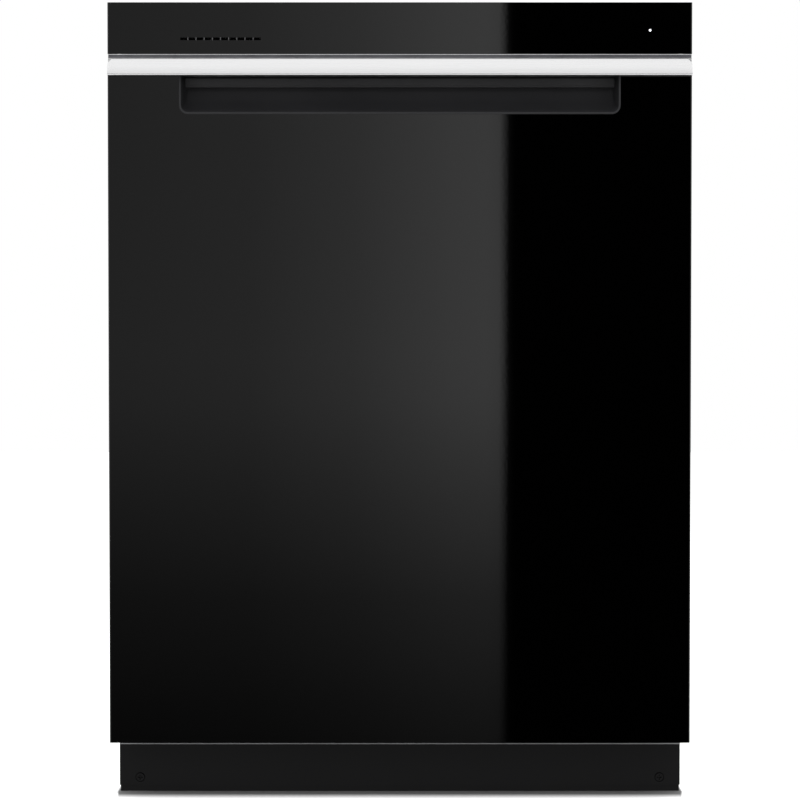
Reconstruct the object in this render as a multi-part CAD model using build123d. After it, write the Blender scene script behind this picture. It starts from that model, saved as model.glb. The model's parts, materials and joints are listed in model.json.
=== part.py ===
"""Built-in dishwasher, 24 inch class, with its racks, wash system and counterbalanced door.

Millimetres. +X is to the viewer's right, +Y goes into the kitchen cabinet, +Z is up.
The origin is on the floor, under the middle of the whole machine. The door is closed.
Each named node is one loose piece or one group of identical pieces.
"""

from build123d import *
import math
import os

# ---------------------------------------------------------------- driving dimensions
WIDTH = 606.0
DEPTH = 622.0
HEIGHT = 840.0
HALF = WIDTH / 2
FRONT = -DEPTH / 2
BACK = DEPTH / 2

# door shells
DOOR_BOTTOM = 65.0
DOOR_TOP = 835.0
TRIM_LOW = 759.0
TRIM_HIGH = 782.0
TRIM_PROUD = 7.0
DOOR_FACE = FRONT + TRIM_PROUD
TRIM_BACK = DOOR_FACE + 5
PANEL_BACK = -252.0
LINER_FACE = -228.0
LINER_HALF, LINER_LOW, LINER_HIGH = 268.0, 158.0, 800.0
LINER_SCREW_X = 292.3
LINER_SCREW_Z = (330, 466, 603, 740)
SKIN = 2.0

HINGE_Y = -276.0
HINGE_Z = 104.0
PIN_R = 5.0
RUN = 0.05  # radial clearance of a running fit
GLIDE = 0.3  # gap between sliding faces

LEDGE_Z = HINGE_Z + LINER_FACE - HINGE_Y  # an open door's inner face is level with the tub ledges
TUB_FLOOR = LEDGE_Z - 12
TUB_CEILING = 824.0
TUB_HALF = 283.0
TUB_FRONT = -246.0
TUB_BACK = 288.0
TUB_CORNER = 22.0
LEDGE_INNER = 238.0
ARM_Y = 28.0  # the spray arms turn about this line

RAIL_IN = 262.0
RAIL_OUT = 284.0
RAIL_FRONT = -226.0
RAIL_LOW = 28.0
RAIL_HIGH = LEDGE_Z - SKIN
FOOT_X = 272.0
FOOT_FRONT_Y = -200.0
FOOT_REAR_Y = 245.0
STUD_R = 5.0

# toe panels and sound blanket
TOE_HALF, TOE_FRONT, TOE_TOP = 301.6, -242.0, 60.0
SCREW_X, SCREW_Z = 279.5, 15.5
BLANKET_HALF, BLANKET_LOW, BLANKET_HIGH = 295.0, 178.0, 836.0
BLANKET_THICK = 9.6

# door details
POCKET_HALF, POCKET_LOW, POCKET_CORNER = 228.2, 720.2, 8.5
SLOT_LEFT, SLOT_PITCH, SLOT_COUNT = -227.4, 8.46, 10
SLOT_WIDTH, SLOT_HEIGHT, SLOT_Z = 7.3, 2.9, 797.3
LAMP_X, LAMP_Z, LAMP_R = 259.2, 806.2, 1.1
KEY_X = {"key_power": -90.0, "key_cycle": 0.0, "key_start": 90.0}
KEY_Y = -283.0
LATCH_Y, LATCH_Z = -292.0, 806.0
VENT_X, VENT_Z, VENT_PITCH = -185.0, 765.0, 12.0
DISPENSER_LEFT, DISPENSER_RIGHT = -88.0, 84.0
DISPENSER_LOW, DISPENSER_HIGH = 420.0, 566.0
CAP_X, CAP_Z, CAP_R = 45.0, 515.0, 20.0
CABLE_R = 22.0  # the cable's centre line on the hinge drum
SPRING_X = 293.5

# wash system
POST_R = 9.0
FILTER_Y = -46.0
FLOAT_X, FLOAT_Y = -190.0, -185.0
HEATER_R, HEATER_Z = 170.0, 150.0
HEATER_GAP = 28.0  # degrees left open at the front, between the two terminals
ARM_ROOT, ARM_TIP = 23.0, 14.0  # half widths of a spray arm's blades
PUMP_X, PUMP_Z = 52.0, 92.0
DRAIN_PUMP_Y, DRAIN_PUMP_Z = 20.0, 96.0
VALVE_X, INLET_Z = -230.0, 80.0
HOSE_Y = 299.7  # centre of the hoses that climb the back of the tub
FILL_X, FILL_TOP = -165.0, 404.0
DRAIN_UP_X, DRAIN_DOWN_X, DRAIN_TOP, DRAIN_BEND = -120.0, -40.0, 700.0, 38.0
CUFF_TOP = 128.0
HANGER_X, HANGER_Z = (DRAIN_UP_X + DRAIN_DOWN_X) / 2, DRAIN_TOP - DRAIN_BEND

# racks
WIRE = 4.0
RACK_FRONT, RACK_BACK = -213.0, 250.0
LOWER_HALF, LOWER_FLOOR, LOWER_RIM = 246.0, 190.0, 318.0
WHEEL_R = 17.5
WHEEL_Z = LEDGE_Z + GLIDE + WHEEL_R
WHEEL_FRONT_Y, WHEEL_REAR_Y = -100.0, 190.0
AXLE_R = 3.0
TINE_X, TINE_Z = 100.0, 198.5
TINE_FIRST, TINE_LAST, TINE_COUNT = -100.0, 220.0, 11
UPPER_HALF, UPPER_FLOOR, UPPER_RIM = 244.0, 478.0, 590.0
SLIDE_LOW, SLIDE_HIGH = 550.0, 574.0
ROLLER_R, ROLLER_Y = 9.0, -190.0
ROLLER_Z = SLIDE_LOW - GLIDE - ROLLER_R
PIPE_R, PIPE_Z = 7.0, 469.0
SHELF_X, SHELF_Z, SHELF_TALL = -235.0, 530.0, 82.0
TRAY_HALF, TRAY_FRONT, TRAY_FLOOR, TRAY_RIM = 250.0, -205.0, 722.0, 758.0
RUNNER_LOW, RUNNER_HIGH = 738.0, 750.0
GUIDE_FRONT = -222.0

nodes = {}


# ---------------------------------------------------------------- small shape helpers
def block(x0, x1, y0, y1, z0, z1):
    """A box from its limits."""
    centre = Pos((x0 + x1) / 2, (y0 + y1) / 2, (z0 + z1) / 2)
    return centre * Box(x1 - x0, y1 - y0, z1 - z0)


def rod_x(y, z, r, x0, x1):
    """A cylinder along X."""
    return Pos((x0 + x1) / 2, y, z) * Rot(0, 90, 0) * Cylinder(r, abs(x1 - x0))


def rod_y(x, z, r, y0, y1):
    """A cylinder along Y."""
    return Pos(x, (y0 + y1) / 2, z) * Rot(90, 0, 0) * Cylinder(r, abs(y1 - y0))


def rod_z(x, y, r, z0, z1):
    """A cylinder along Z."""
    return Pos(x, y, (z0 + z1) / 2) * Cylinder(r, z1 - z0)


def along_x(points, x0, x1):
    """An outline of (y, z) points, extruded from x0 to x1."""
    face = make_face(Polyline(*points, close=True))
    return extrude(Plane.YZ.offset(x0) * face, x1 - x0)


def along_y(face, y0, y1):
    """A face drawn as (x, z), extruded from y0 to y1."""
    return extrude(Plane.XZ.offset(-y0) * face, -(y1 - y0))


def along_z(face, z0, z1):
    """A face drawn as (x, y), extruded from z0 to z1."""
    return extrude(Plane.XY.offset(z0) * face, z1 - z0)


def outline(points, radius=0.0, rounded=None):
    """A face from corner points, with the corners that `rounded` picks turned to arcs."""
    face = make_face(Polyline(*points, close=True))
    if radius:
        corners = face.vertices()
        picked = [v for v in corners if rounded is None or rounded(v)]
        face = fillet(picked, radius)
    return face


def tube_along(path, r_out, r_in, normal):
    """A round tube swept along a path that starts in the direction `normal`."""
    start = Plane(origin=path @ 0, z_dir=normal)
    outer = sweep(start * Circle(r_out), path)
    inner = sweep(start * Circle(r_in), path)
    return outer - inner


def both_sides(shape):
    """The shape and its mirror image about the middle plane."""
    return shape + mirror(shape, Plane.YZ)


def spread(first, last, count):
    """Evenly spaced values, both ends included."""
    return [first + (last - first) * i / (count - 1) for i in range(count)]


def put(name, shape):
    nodes[name] = shape


# ---------------------------------------------------------------- tub and its skin
def build_tub():
    def section(grow):
        half, low, high = TUB_HALF + grow, LEDGE_Z - grow, TUB_CEILING + grow
        step, floor = LEDGE_INNER + grow, TUB_FLOOR - grow
        points = [
            (-half, high), (half, high), (half, low), (step, low),
            (step, floor), (-step, floor), (-step, low), (-half, low),
        ]
        return outline(points, TUB_CORNER, lambda v: v.Y > high - 1)

    walls = along_y(section(SKIN) - section(0), TUB_FRONT, TUB_BACK)
    rear = along_y(section(SKIN), TUB_BACK, TUB_BACK + SKIN)
    flange_low, flange_high = 128, 832
    flange_face = Pos(0, (flange_low + flange_high) / 2) * Rectangle(2 * 297, flange_high - flange_low)
    flange = along_y(flange_face - section(0), TUB_FRONT - SKIN, TUB_FRONT)
    tub = walls + rear + flange
    tub += rod_y(HANGER_X, HANGER_Z, 28, TUB_BACK + 1, 307)
    tub -= rod_y(HANGER_X, HANGER_Z, 25, TUB_BACK + SKIN, 308)
    tub -= rod_z(0, 0, 88, 130, 145)
    tub -= rod_z(0, 273, 9.5, 130, 145)
    tub -= rod_z(FLOAT_X, FLOAT_Y, 4.4, 130, 145)
    tub -= rod_y(FILL_X, FILL_TOP + 13, 5, TUB_BACK - 3, TUB_BACK + 7)
    put("tub", tub)


def build_seal():
    """A gasket round the opening, with an apron that bridges the sill below the open door."""
    back, front = TUB_FRONT - SKIN, TUB_FRONT - SKIN - 2.2
    bars = both_sides(block(284.5, 289, front, back, 126, 829.5)) + block(-289, 289, front, back, 825, 829.5)
    apron = block(-284, 284, -298, back, 126, 127.5) + block(-289, 289, front, back, 126, 127.5)
    put("tub_seal", bars + apron)


def build_blanket():
    def arch(half, high, radius):
        points = [(-half, BLANKET_LOW), (-half, high), (half, high), (half, BLANKET_LOW)]
        return outline(points, radius, lambda v: v.Y > high - 1)

    inside = arch(BLANKET_HALF - BLANKET_THICK, BLANKET_HIGH - BLANKET_THICK, 23)
    wrap = arch(BLANKET_HALF, BLANKET_HIGH, 30) - inside
    put("sound_blanket", along_y(wrap, -240, 276))


def build_counter_brackets():
    leg = block(165, 195, -246, -244, 826, 838)
    plate = block(165, 195, -264, -242, 838, HEIGHT)
    put("counter_brackets", both_sides(leg + plate - rod_z(180, -254, 2.5, 830, 845)))


# ---------------------------------------------------------------- base
def build_base_frame():
    web = block(RAIL_OUT - 2, RAIL_OUT, RAIL_FRONT, 285, RAIL_LOW, RAIL_HIGH)
    low = block(RAIL_IN, RAIL_OUT, RAIL_FRONT, 285, RAIL_LOW, RAIL_LOW + 2)
    high = block(RAIL_IN, RAIL_OUT, RAIL_FRONT, 285, RAIL_HIGH - 2, RAIL_HIGH)
    side = web + low + high
    for y in (FOOT_FRONT_Y, FOOT_REAR_Y):
        side += rod_z(FOOT_X, y, 9, RAIL_LOW + 2, RAIL_LOW + 14)
        side -= rod_z(FOOT_X, y, STUD_R + RUN, RAIL_LOW - 1, RAIL_LOW + 20)
    ear = block(280, RAIL_OUT, HINGE_Y, RAIL_FRONT + 4, HINGE_Z - 6, HINGE_Z + 18)
    ear += rod_x(HINGE_Y, HINGE_Z, 12, 280, RAIL_OUT)
    pin = rod_x(HINGE_Y, HINGE_Z, PIN_R, 280, 299) + rod_x(HINGE_Y, HINGE_Z, 8, 298.5, 300)
    toe_tab = block(268, RAIL_OUT, -239, RAIL_FRONT + 4, 8, RAIL_LOW + 2)
    toe_tab -= rod_y(SCREW_X, SCREW_Z, 2.0, -240, -228)
    spring_tab = block(RAIL_OUT - 1, 298, 58, 61, 112, 134)
    bumper = block(RAIL_IN + 2, RAIL_OUT - 2, 284, BACK, 70, 90)
    half_frame = side + ear + pin + toe_tab + spring_tab + bumper + block(281, 283, 270, 285, 70, 90)
    front_bar = block(-RAIL_IN - 1, RAIL_IN + 1, -222, -205, RAIL_LOW, 48)
    rear_bar = block(-RAIL_IN - 1, RAIL_IN + 1, 268, 285, RAIL_LOW, 52)
    put("base_frame", both_sides(half_frame) + front_bar + rear_bar)


def build_base_pan():
    pan = block(-250, 250, -200, 262, 16, RAIL_LOW) - block(-248, 248, -198, 260, 18, RAIL_LOW + 1)
    pan += both_sides(block(248, 270, -150, 200, RAIL_LOW - 1.5, RAIL_LOW))
    put("base_pan", pan)


def build_toe_panels():
    sheet = 1.5
    toe_face = TOE_FRONT + sheet
    access = block(-TOE_HALF, TOE_HALF, TOE_FRONT, toe_face, 7, TOE_TOP)
    access += block(-TOE_HALF, TOE_HALF, TOE_FRONT, TOE_FRONT + 12, TOE_TOP - sheet, TOE_TOP)
    toe = block(-TOE_HALF + 0.8, TOE_HALF - 0.8, toe_face, toe_face + sheet, 0.3, 45)
    for side in (-1, 1):
        access -= rod_y(side * SCREW_X, SCREW_Z, 5, TOE_FRONT - 3, TOE_FRONT + 3)
        toe -= rod_y(side * SCREW_X, SCREW_Z, 2.2, TOE_FRONT - 3, TOE_FRONT + 6)
    put("access_panel", access)
    put("toe_panel", toe)
    head = rod_y(SCREW_X, SCREW_Z, 4.4, TOE_FRONT - 0.6, toe_face)
    for wide, tall in ((5.2, 1), (1, 5.2)):
        head -= Pos(SCREW_X, TOE_FRONT, SCREW_Z) * Box(wide, 1.4, tall)
    shank = rod_y(SCREW_X, SCREW_Z, 1.9, toe_face - 0.5, toe_face + 11.5)
    put("toe_panel_screws", both_sides(head + shank))


def build_feet():
    for name, x, y in (
        ("foot_front_left", -FOOT_X, FOOT_FRONT_Y),
        ("foot_front_right", FOOT_X, FOOT_FRONT_Y),
        ("foot_rear_left", -FOOT_X, FOOT_REAR_Y),
        ("foot_rear_right", FOOT_X, FOOT_REAR_Y),
    ):
        pad = rod_z(x, y, 16, 0, 6)
        hexagon = along_z(Pos(x, y) * RegularPolygon(9, 6), 5.5, 11)
        put(name, pad + hexagon + rod_z(x, y, STUD_R, 10, 86))


# ---------------------------------------------------------------- wash system
def build_sump():
    bowl = rod_z(0, 0, 90, 76, TUB_FLOOR - 2) - rod_z(0, 0, 87, 79, TUB_FLOOR)
    lip = rod_z(0, 0, 108, 133, TUB_FLOOR - 2) - rod_z(0, 0, 87, 130, TUB_FLOOR)
    post = rod_z(0, ARM_Y, POST_R, 78, 178)
    wash_port = rod_y(PUMP_X, 98, 15, 60, 112) - rod_y(PUMP_X, 98, 12, 60, 113)
    drain_port = rod_x(DRAIN_PUMP_Y, DRAIN_PUMP_Z, 12, -110, -70)
    drain_port -= rod_x(DRAIN_PUMP_Y, DRAIN_PUMP_Z, 9, -111, -70)
    hollow = rod_z(0, 0, 87, 79, TUB_FLOOR)
    put("sump", bowl + lip + (wash_port - hollow) + (drain_port - hollow) + post)


def build_filter():
    plate = rod_z(0, 0, 104, TUB_FLOOR, TUB_FLOOR + 1.6)
    plate -= rod_z(0, ARM_Y, POST_R + 0.6, 130, 150)
    plate -= rod_z(0, FILTER_Y, 33.5, 130, 150)
    put("filter_plate", plate)
    cup = rod_z(0, FILTER_Y, 32.5, 92, 142.5) - rod_z(0, FILTER_Y, 30, 95, 141)
    cup += rod_z(0, FILTER_Y, 39, 141.9, 144.5)
    cup += block(-25, 25, FILTER_Y - 5, FILTER_Y + 5, 144, 157)
    put("filter_cup", cup)


def build_float():
    dome = rod_z(FLOAT_X, FLOAT_Y, 20, TUB_FLOOR + GLIDE, 170)
    dome = fillet(dome.edges().sort_by(Axis.Z)[-1], 8)
    dome -= rod_z(FLOAT_X, FLOAT_Y, 17, TUB_FLOOR, 160)
    put("float", dome + rod_z(FLOAT_X, FLOAT_Y, 4, 118, 162))


def build_heater():
    start = -90 + HEATER_GAP / 2
    loop = CenterArc((0, ARM_Y, 0), HEATER_R, start, 360 - HEATER_GAP)
    ring = Pos(0, 0, HEATER_Z) * sweep(Plane(origin=loop @ 0, z_dir=loop % 0) * Circle(4), loop)
    for angle in (start, start - HEATER_GAP):
        x = HEATER_R * math.cos(math.radians(angle))
        y = ARM_Y + HEATER_R * math.sin(math.radians(angle))
        ring += rod_z(x, y, 4, TUB_FLOOR, HEATER_Z) + Pos(x, y, HEATER_Z) * Sphere(4)
        ring += rod_z(x, y, 8, TUB_FLOOR, TUB_FLOOR + 4)
    put("heating_element", ring)


def spray_arm(reach, z0, z1, hub_r, bore_r, hub_low, hub_high):
    """A two-bladed arm that tapers to round tips, with a bored hub."""
    end = reach - ARM_TIP

    def edge(sign):
        return [(0, sign * ARM_ROOT), (sign * 60, sign * (ARM_ROOT - 3)), (sign * end, sign * ARM_TIP)]

    blade = outline([*edge(1), (end, -ARM_TIP), *edge(-1), (-end, ARM_TIP)])
    for x in (-end, end):
        blade += Pos(x, 0) * Circle(ARM_TIP)
    arm = along_z(Pos(0, ARM_Y) * blade, z0, z1) + rod_z(0, ARM_Y, hub_r, hub_low, hub_high)
    return arm - rod_z(0, ARM_Y, bore_r, hub_low - 1, hub_high - 3)


def build_lower_arm():
    put("lower_spray_arm", spray_arm(232, 167, 179, 26, POST_R + RUN, 163, 184))


def build_pumps():
    volute = rod_y(PUMP_X, PUMP_Z, 40, 112, 148)
    outlet = block(-9, 20, 124, 144, 100, 122)
    motor_r = 34
    wash = volute + outlet + rod_y(PUMP_X, PUMP_Z, motor_r, 148, 226) + rod_y(PUMP_X, PUMP_Z, 20, 226, 234)
    for angle in range(0, 360, 45):
        wash += Pos(PUMP_X, 190, PUMP_Z) * Rot(0, angle, 0) * Pos(0, 0, motor_r) * Box(3, 66, 5)
    put("wash_pump", wash)
    drain = rod_x(DRAIN_PUMP_Y, DRAIN_PUMP_Z, 28, -134, -110)
    drain += rod_x(DRAIN_PUMP_Y, DRAIN_PUMP_Z, 24, -180, -133)
    drain += rod_y(DRAIN_UP_X, DRAIN_PUMP_Z, 8, DRAIN_PUMP_Y, 62)
    put("drain_pump", drain)


def build_feed_tube():
    back, low, high = 273, 112, 812
    path = FilletPolyline((0, 144, low), (0, back, low), (0, back, high), (0, ARM_Y, high), radius=24)
    tube = tube_along(path, 9, 7, (0, 1, 0))
    dock = rod_y(0, PIPE_Z, 8, back - 15, back - 7) - rod_y(0, PIPE_Z, 5, back - 16, back - 9)
    put("feed_tube", tube + dock + rod_z(0, ARM_Y, 11, high - 9, high + 4))
    put("top_spray_nozzle", Pos(0, ARM_Y, high - 15) * Cone(38, 14, 12))


def build_plumbing():
    body = block(VALVE_X - 18, VALVE_X + 18, 215, 255, 66, 102) + rod_z(VALVE_X, 235, 15, 101, 130)
    body += block(-RAIL_OUT + SKIN, VALVE_X - 17, 220, 234, 80, 86)
    inlet = rod_y(VALVE_X, INLET_Z, 13.2, 255, 275) - rod_y(VALVE_X, INLET_Z, 9, 257, 276)
    outlet = rod_x(235, 84, 6, VALVE_X + 17, VALVE_X + 34)
    put("inlet_valve", body + inlet + outlet)
    rise = FilletPolyline(
        (-196, 235, 84), (FILL_X, 235, 84), (FILL_X, HOSE_Y, 84), (FILL_X, HOSE_Y, FILL_TOP), radius=28
    )
    port = block(FILL_X - 11, FILL_X + 11, TUB_BACK + SKIN, 308, FILL_TOP, FILL_TOP + 26)
    put("fill_hose", tube_along(rise, 6.5, 4.5, (1, 0, 0)) + port)
    loop = FilletPolyline(
        (DRAIN_UP_X, 62, DRAIN_PUMP_Z), (DRAIN_UP_X, HOSE_Y, DRAIN_PUMP_Z),
        (DRAIN_UP_X, HOSE_Y, DRAIN_TOP), (DRAIN_DOWN_X, HOSE_Y, DRAIN_TOP),
        (DRAIN_DOWN_X, HOSE_Y, CUFF_TOP), radius=DRAIN_BEND,
    )
    cuff = rod_z(DRAIN_DOWN_X, HOSE_Y, 11, CUFF_TOP - 32, CUFF_TOP)
    cuff -= rod_z(DRAIN_DOWN_X, HOSE_Y, 8, CUFF_TOP - 33, CUFF_TOP + 1)
    put("drain_hose", tube_along(loop, 9, 7, (0, 1, 0)) + cuff)


def build_junction_box():
    case = block(170, 250, -200, -150, 50, 100) - block(172, 248, -201, -152, 52, 98)
    case -= rod_y(210, 75, 11.2, -153, -149)
    case += block(249, RAIL_OUT - SKIN, -185, -165, 72, 78)
    cover = block(170, 250, -202, -200, 50, 100) + block(174, 246, -200, -199, 54, 96)
    put("junction_box", case + cover)


# ---------------------------------------------------------------- racks
def wire_basket(half, y0, y1, floor, rim, nx, ny, wire=WIRE):
    """A welded basket of square wires: floor grid, uprights on four sides, rim and mid rail."""
    xs, ys = spread(-half, half - wire, nx), spread(y0, y1 - wire, ny)
    bars = [block(x, x + wire, y0, y1, floor, floor + wire) for x in xs]
    bars += [block(-half, half, y, y + wire, floor, floor + wire) for y in ys]
    for x in xs:
        bars += [block(x, x + wire, y, y + wire, floor, rim) for y in (y0, y1 - wire)]
    for y in ys[1:-1]:
        bars += [block(x, x + wire, y, y + wire, floor, rim) for x in (-half, half - wire)]
    for z in (rim - wire, (floor + rim) / 2):
        bars += [block(-half, half, y, y + wire, z, z + wire) for y in (y0, y1 - wire)]
        bars += [block(x, x + wire, y0, y1, z, z + wire) for x in (-half, half - wire)]
    return bars


def build_lower_rack():
    bars = wire_basket(LOWER_HALF, RACK_FRONT, RACK_BACK, LOWER_FLOOR, LOWER_RIM, 9, 9)
    for x in (-150, -60):
        bars.append(block(x, x + 3, -106, 226, LOWER_FLOOR, LOWER_FLOOR + 3))
        for y in spread(TINE_FIRST, TINE_LAST, TINE_COUNT):
            bars.append(block(x, x + 3, y, y + 3, LOWER_FLOOR, LOWER_FLOOR + 82))
    for side in (-1, 1):
        for y in (WHEEL_FRONT_Y, WHEEL_REAR_Y):
            hanger = sorted((side * 242, side * 250))
            bars.append(block(*hanger, y - 14, y + 14, WHEEL_Z - 8, LOWER_FLOOR + 20))
            bars.append(rod_x(y, WHEEL_Z, AXLE_R, side * 248, side * 265))
    rack = Part() + bars
    for y in (-110, 226):
        clip = block(TINE_X - 4, TINE_X + 4, y, y + 4, LOWER_FLOOR, TINE_Z + 4)
        rack += clip + block(TINE_X - 4, TINE_X + 40, y, y + 4, LOWER_FLOOR, LOWER_FLOOR + 4)
        rack -= rod_y(TINE_X, TINE_Z, 2 + RUN, y - 1, y + 5)
    put("lower_rack", rack)
    for name, y in (("lower_wheels_front", WHEEL_FRONT_Y), ("lower_wheels_rear", WHEEL_REAR_Y)):
        wheel = rod_x(y, WHEEL_Z, WHEEL_R, 253, 263) - rod_x(y, WHEEL_Z, AXLE_R + RUN, 252, 264)
        put(name, both_sides(wheel))
    tines = [rod_y(TINE_X, TINE_Z, 2, -112, 232)]
    for y in spread(TINE_FIRST, TINE_LAST, TINE_COUNT):
        tines.append(block(TINE_X - 1.5, TINE_X + 1.5, y, y + 3, TINE_Z, 276))
    put("folding_tines", Part() + tines)


def build_cutlery_basket():
    x0, x1, y0, y1, z0, z1 = 74, 232, -202, -140, 194.3, 300
    basket = block(x0, x1, y0, y1, z0, z1)
    cell = (x1 - x0 - 2) / 3
    for i in range(3):
        left = x0 + 2 + i * cell
        basket -= block(left, left + cell - 2, y0 + 2, y1 - 2, z0 + 2, z1 + 1)
    for z in (214, 242, 270):
        for x in spread(x0 + 6, x1 - 16, 11):
            basket -= block(x, x + 9, y0 - 1, y1 + 1, z, z + 20)
    left, right = x0 + 1 + cell, x1 - 1 - cell
    posts = block(left - 2, left + 2, -173, -169, z1 - 40, 350)
    posts += block(right - 2, right + 2, -173, -169, z1 - 40, 350)
    grip = block(left - 2, right + 2, -175, -167, 346, 354)
    put("cutlery_basket", basket + posts + grip)


def build_upper_rack():
    bars = wire_basket(UPPER_HALF, RACK_FRONT, RACK_BACK, UPPER_FLOOR, UPPER_RIM, 9, 9)
    for side in (-1, 1):
        for y in (10, 205):
            glide = sorted((side * 242, side * 265.7))
            bars.append(block(*glide, y, y + 30, SLIDE_LOW + 2 + GLIDE, SLIDE_HIGH - 2 - GLIDE))
    bars.append(rod_y(0, PIPE_Z, PIPE_R, ARM_Y, 257.5))
    bars.append(rod_z(0, ARM_Y, PIPE_R, 440, PIPE_Z))
    bars.append(Pos(0, ARM_Y, PIPE_Z) * Sphere(PIPE_R))
    bars.append(rod_z(0, ARM_Y, 12, 438, 441))
    bars += [block(-6, 6, y, y + 12, PIPE_Z, UPPER_FLOOR + 2) for y in (60, 200)]
    rack = Part() + bars
    for y in (-196, -20):
        rack += block(-242, SHELF_X + 4, y, y + 6, SHELF_Z - 6, SHELF_Z + 6)
        rack -= rod_y(SHELF_X, SHELF_Z, 2 + RUN, y - 1, y + 7)
    put("upper_rack", rack)
    arm = spray_arm(222, 446, 457, 20, PIPE_R + RUN, 441.5, 460)
    put("middle_spray_arm", arm - rod_z(0, ARM_Y, PIPE_R + RUN, 430, 470))
    frame = rod_y(SHELF_X, SHELF_Z, 2, -197, -13)
    top = SHELF_Z + SHELF_TALL
    frame += block(SHELF_X - 1.5, SHELF_X + 1.5, -187, -23, top - 3, top)
    for y in spread(-187, -26, 6):
        frame += block(SHELF_X - 1.5, SHELF_X + 1.5, y, y + 3, SHELF_Z, top)
    put("cup_shelf", frame)


def build_upper_rails():
    web = block(266, 268, RACK_FRONT - 2, RACK_BACK, SLIDE_LOW, SLIDE_HIGH)
    low = block(257, 268, RACK_FRONT - 2, RACK_BACK, SLIDE_LOW, SLIDE_LOW + 2)
    high = block(257, 268, RACK_FRONT - 2, RACK_BACK, SLIDE_HIGH - 2, SLIDE_HIGH)
    put("upper_rails", both_sides(web + low + high))
    roller = rod_x(ROLLER_Y, ROLLER_Z, ROLLER_R, 258, 270)
    roller -= rod_x(ROLLER_Y, ROLLER_Z, AXLE_R + RUN, 257, 271)
    put("rail_rollers", both_sides(roller))


def build_rack_guides():
    web = block(281, TUB_HALF, GUIDE_FRONT, RACK_BACK, RUNNER_LOW - 2, RUNNER_HIGH + 2)
    low = block(266, 282, GUIDE_FRONT, RACK_BACK, RUNNER_LOW - 2, RUNNER_LOW)
    high = block(266, 282, GUIDE_FRONT, RACK_BACK, RUNNER_HIGH, RUNNER_HIGH + 2)
    guides = web + low + high
    for y in (ROLLER_Y, -40):
        guides += block(258, TUB_HALF, y - 8, y + 8, SLIDE_HIGH + GLIDE, SLIDE_HIGH + 18)
    guides += block(258, TUB_HALF, -48, -32, SLIDE_LOW - 18, SLIDE_LOW - GLIDE)
    guides += rod_x(ROLLER_Y, ROLLER_Z, AXLE_R, 257, TUB_HALF)
    put("rack_guides", both_sides(guides))


def build_third_rack():
    bars = wire_basket(TRAY_HALF, TRAY_FRONT, RACK_BACK, TRAY_FLOOR, TRAY_RIM, 7, 7, wire=3.5)
    runner = block(248, 278, TRAY_FRONT, RACK_BACK, RUNNER_LOW + GLIDE, RUNNER_HIGH - GLIDE)
    runner -= block(254, 290, TRAY_FRONT + 5, RACK_BACK - 5, RUNNER_LOW + 3, RUNNER_HIGH + 1)
    bars += [runner, mirror(runner, Plane.YZ)]
    put("third_rack", Part() + bars)


# ---------------------------------------------------------------- door
def pocket_face(grow):
    """The outline of the finger pocket in the door, rounded at its two lower corners."""
    half, low = POCKET_HALF + grow, POCKET_LOW - grow
    points = [(-half, low), (half, low), (half, 800), (-half, 800)]
    return outline(points, POCKET_CORNER + grow, lambda v: v.Y < low + 1)


def soft_front(box):
    """Rounds the two upright front edges of a box."""
    edges = box.edges().filter_by(Axis.Z).sort_by(Axis.Y)[:2]
    return fillet(edges, 1.5)


def build_door_panel():
    shell = soft_front(block(-HALF, HALF, DOOR_FACE, PANEL_BACK, DOOR_BOTTOM, TRIM_HIGH))
    shell -= block(-HALF + 2, HALF - 2, DOOR_FACE + 2, PANEL_BACK + 1, DOOR_BOTTOM - 1, TRIM_HIGH + 1)
    shell -= block(-HALF - 1, HALF + 1, DOOR_FACE - 1, TRIM_BACK, TRIM_LOW, TRIM_HIGH + 1)
    hem = block(-HALF + 1, HALF - 1, DOOR_FACE + 1, DOOR_FACE + 19, DOOR_BOTTOM, DOOR_BOTTOM + 2)
    lips = both_sides(block(287, HALF - 1, PANEL_BACK - 2, PANEL_BACK, 132, TRIM_HIGH))
    panel = shell + hem + lips
    panel -= along_y(pocket_face(0.2), DOOR_FACE - 1, DOOR_FACE + 3)
    for x in (-LINER_SCREW_X, LINER_SCREW_X):
        for z in LINER_SCREW_Z:
            panel -= rod_y(x, z, 1.5, PANEL_BACK - 3, PANEL_BACK + 1)
    put("door_panel", panel)


def build_handle():
    body = along_y(pocket_face(0), DOOR_FACE, -272)
    body += block(-238, 238, DOOR_FACE + 2, DOOR_FACE + 4, POCKET_LOW - 8.2, TRIM_HIGH - 4)
    body -= block(-240, 240, -310, TRIM_BACK, TRIM_LOW, 810)
    body -= block(-240, 240, -310, -260, TRIM_HIGH - 4, 810)
    scoop = make_face(
        Polyline((-305, 722.4), (-303, 722.4))
        + ThreePointArc((-303, 722.4), (-284, 731.5), (-275, 752))
        + Polyline((-275, 752), (-275, 775.5), (-305, 775.5), (-305, 722.4))
    )
    inner = POCKET_HALF - 2
    cut = extrude(Plane.YZ.offset(-inner) * scoop, 2 * inner)
    put("handle_pocket", body - cut)
    profile = [
        (TRIM_BACK, TRIM_LOW), (-308.2, TRIM_LOW), (-309.8, 760.2), (-310.7, 763), (FRONT, 768),
        (FRONT, 773.5), (-310.6, 776), (-309.2, 777.8), (-306.6, 779.8), (-306.2, 781.4),
        (-305.4, TRIM_HIGH), (TRIM_BACK, TRIM_HIGH),
    ]
    trim = along_x(profile, -HALF, HALF)
    trim -= block(-HALF + 2, HALF - 2, -307.5, TRIM_BACK, TRIM_LOW + 2, TRIM_HIGH - 2.5)
    put("handle_trim", trim)


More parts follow.
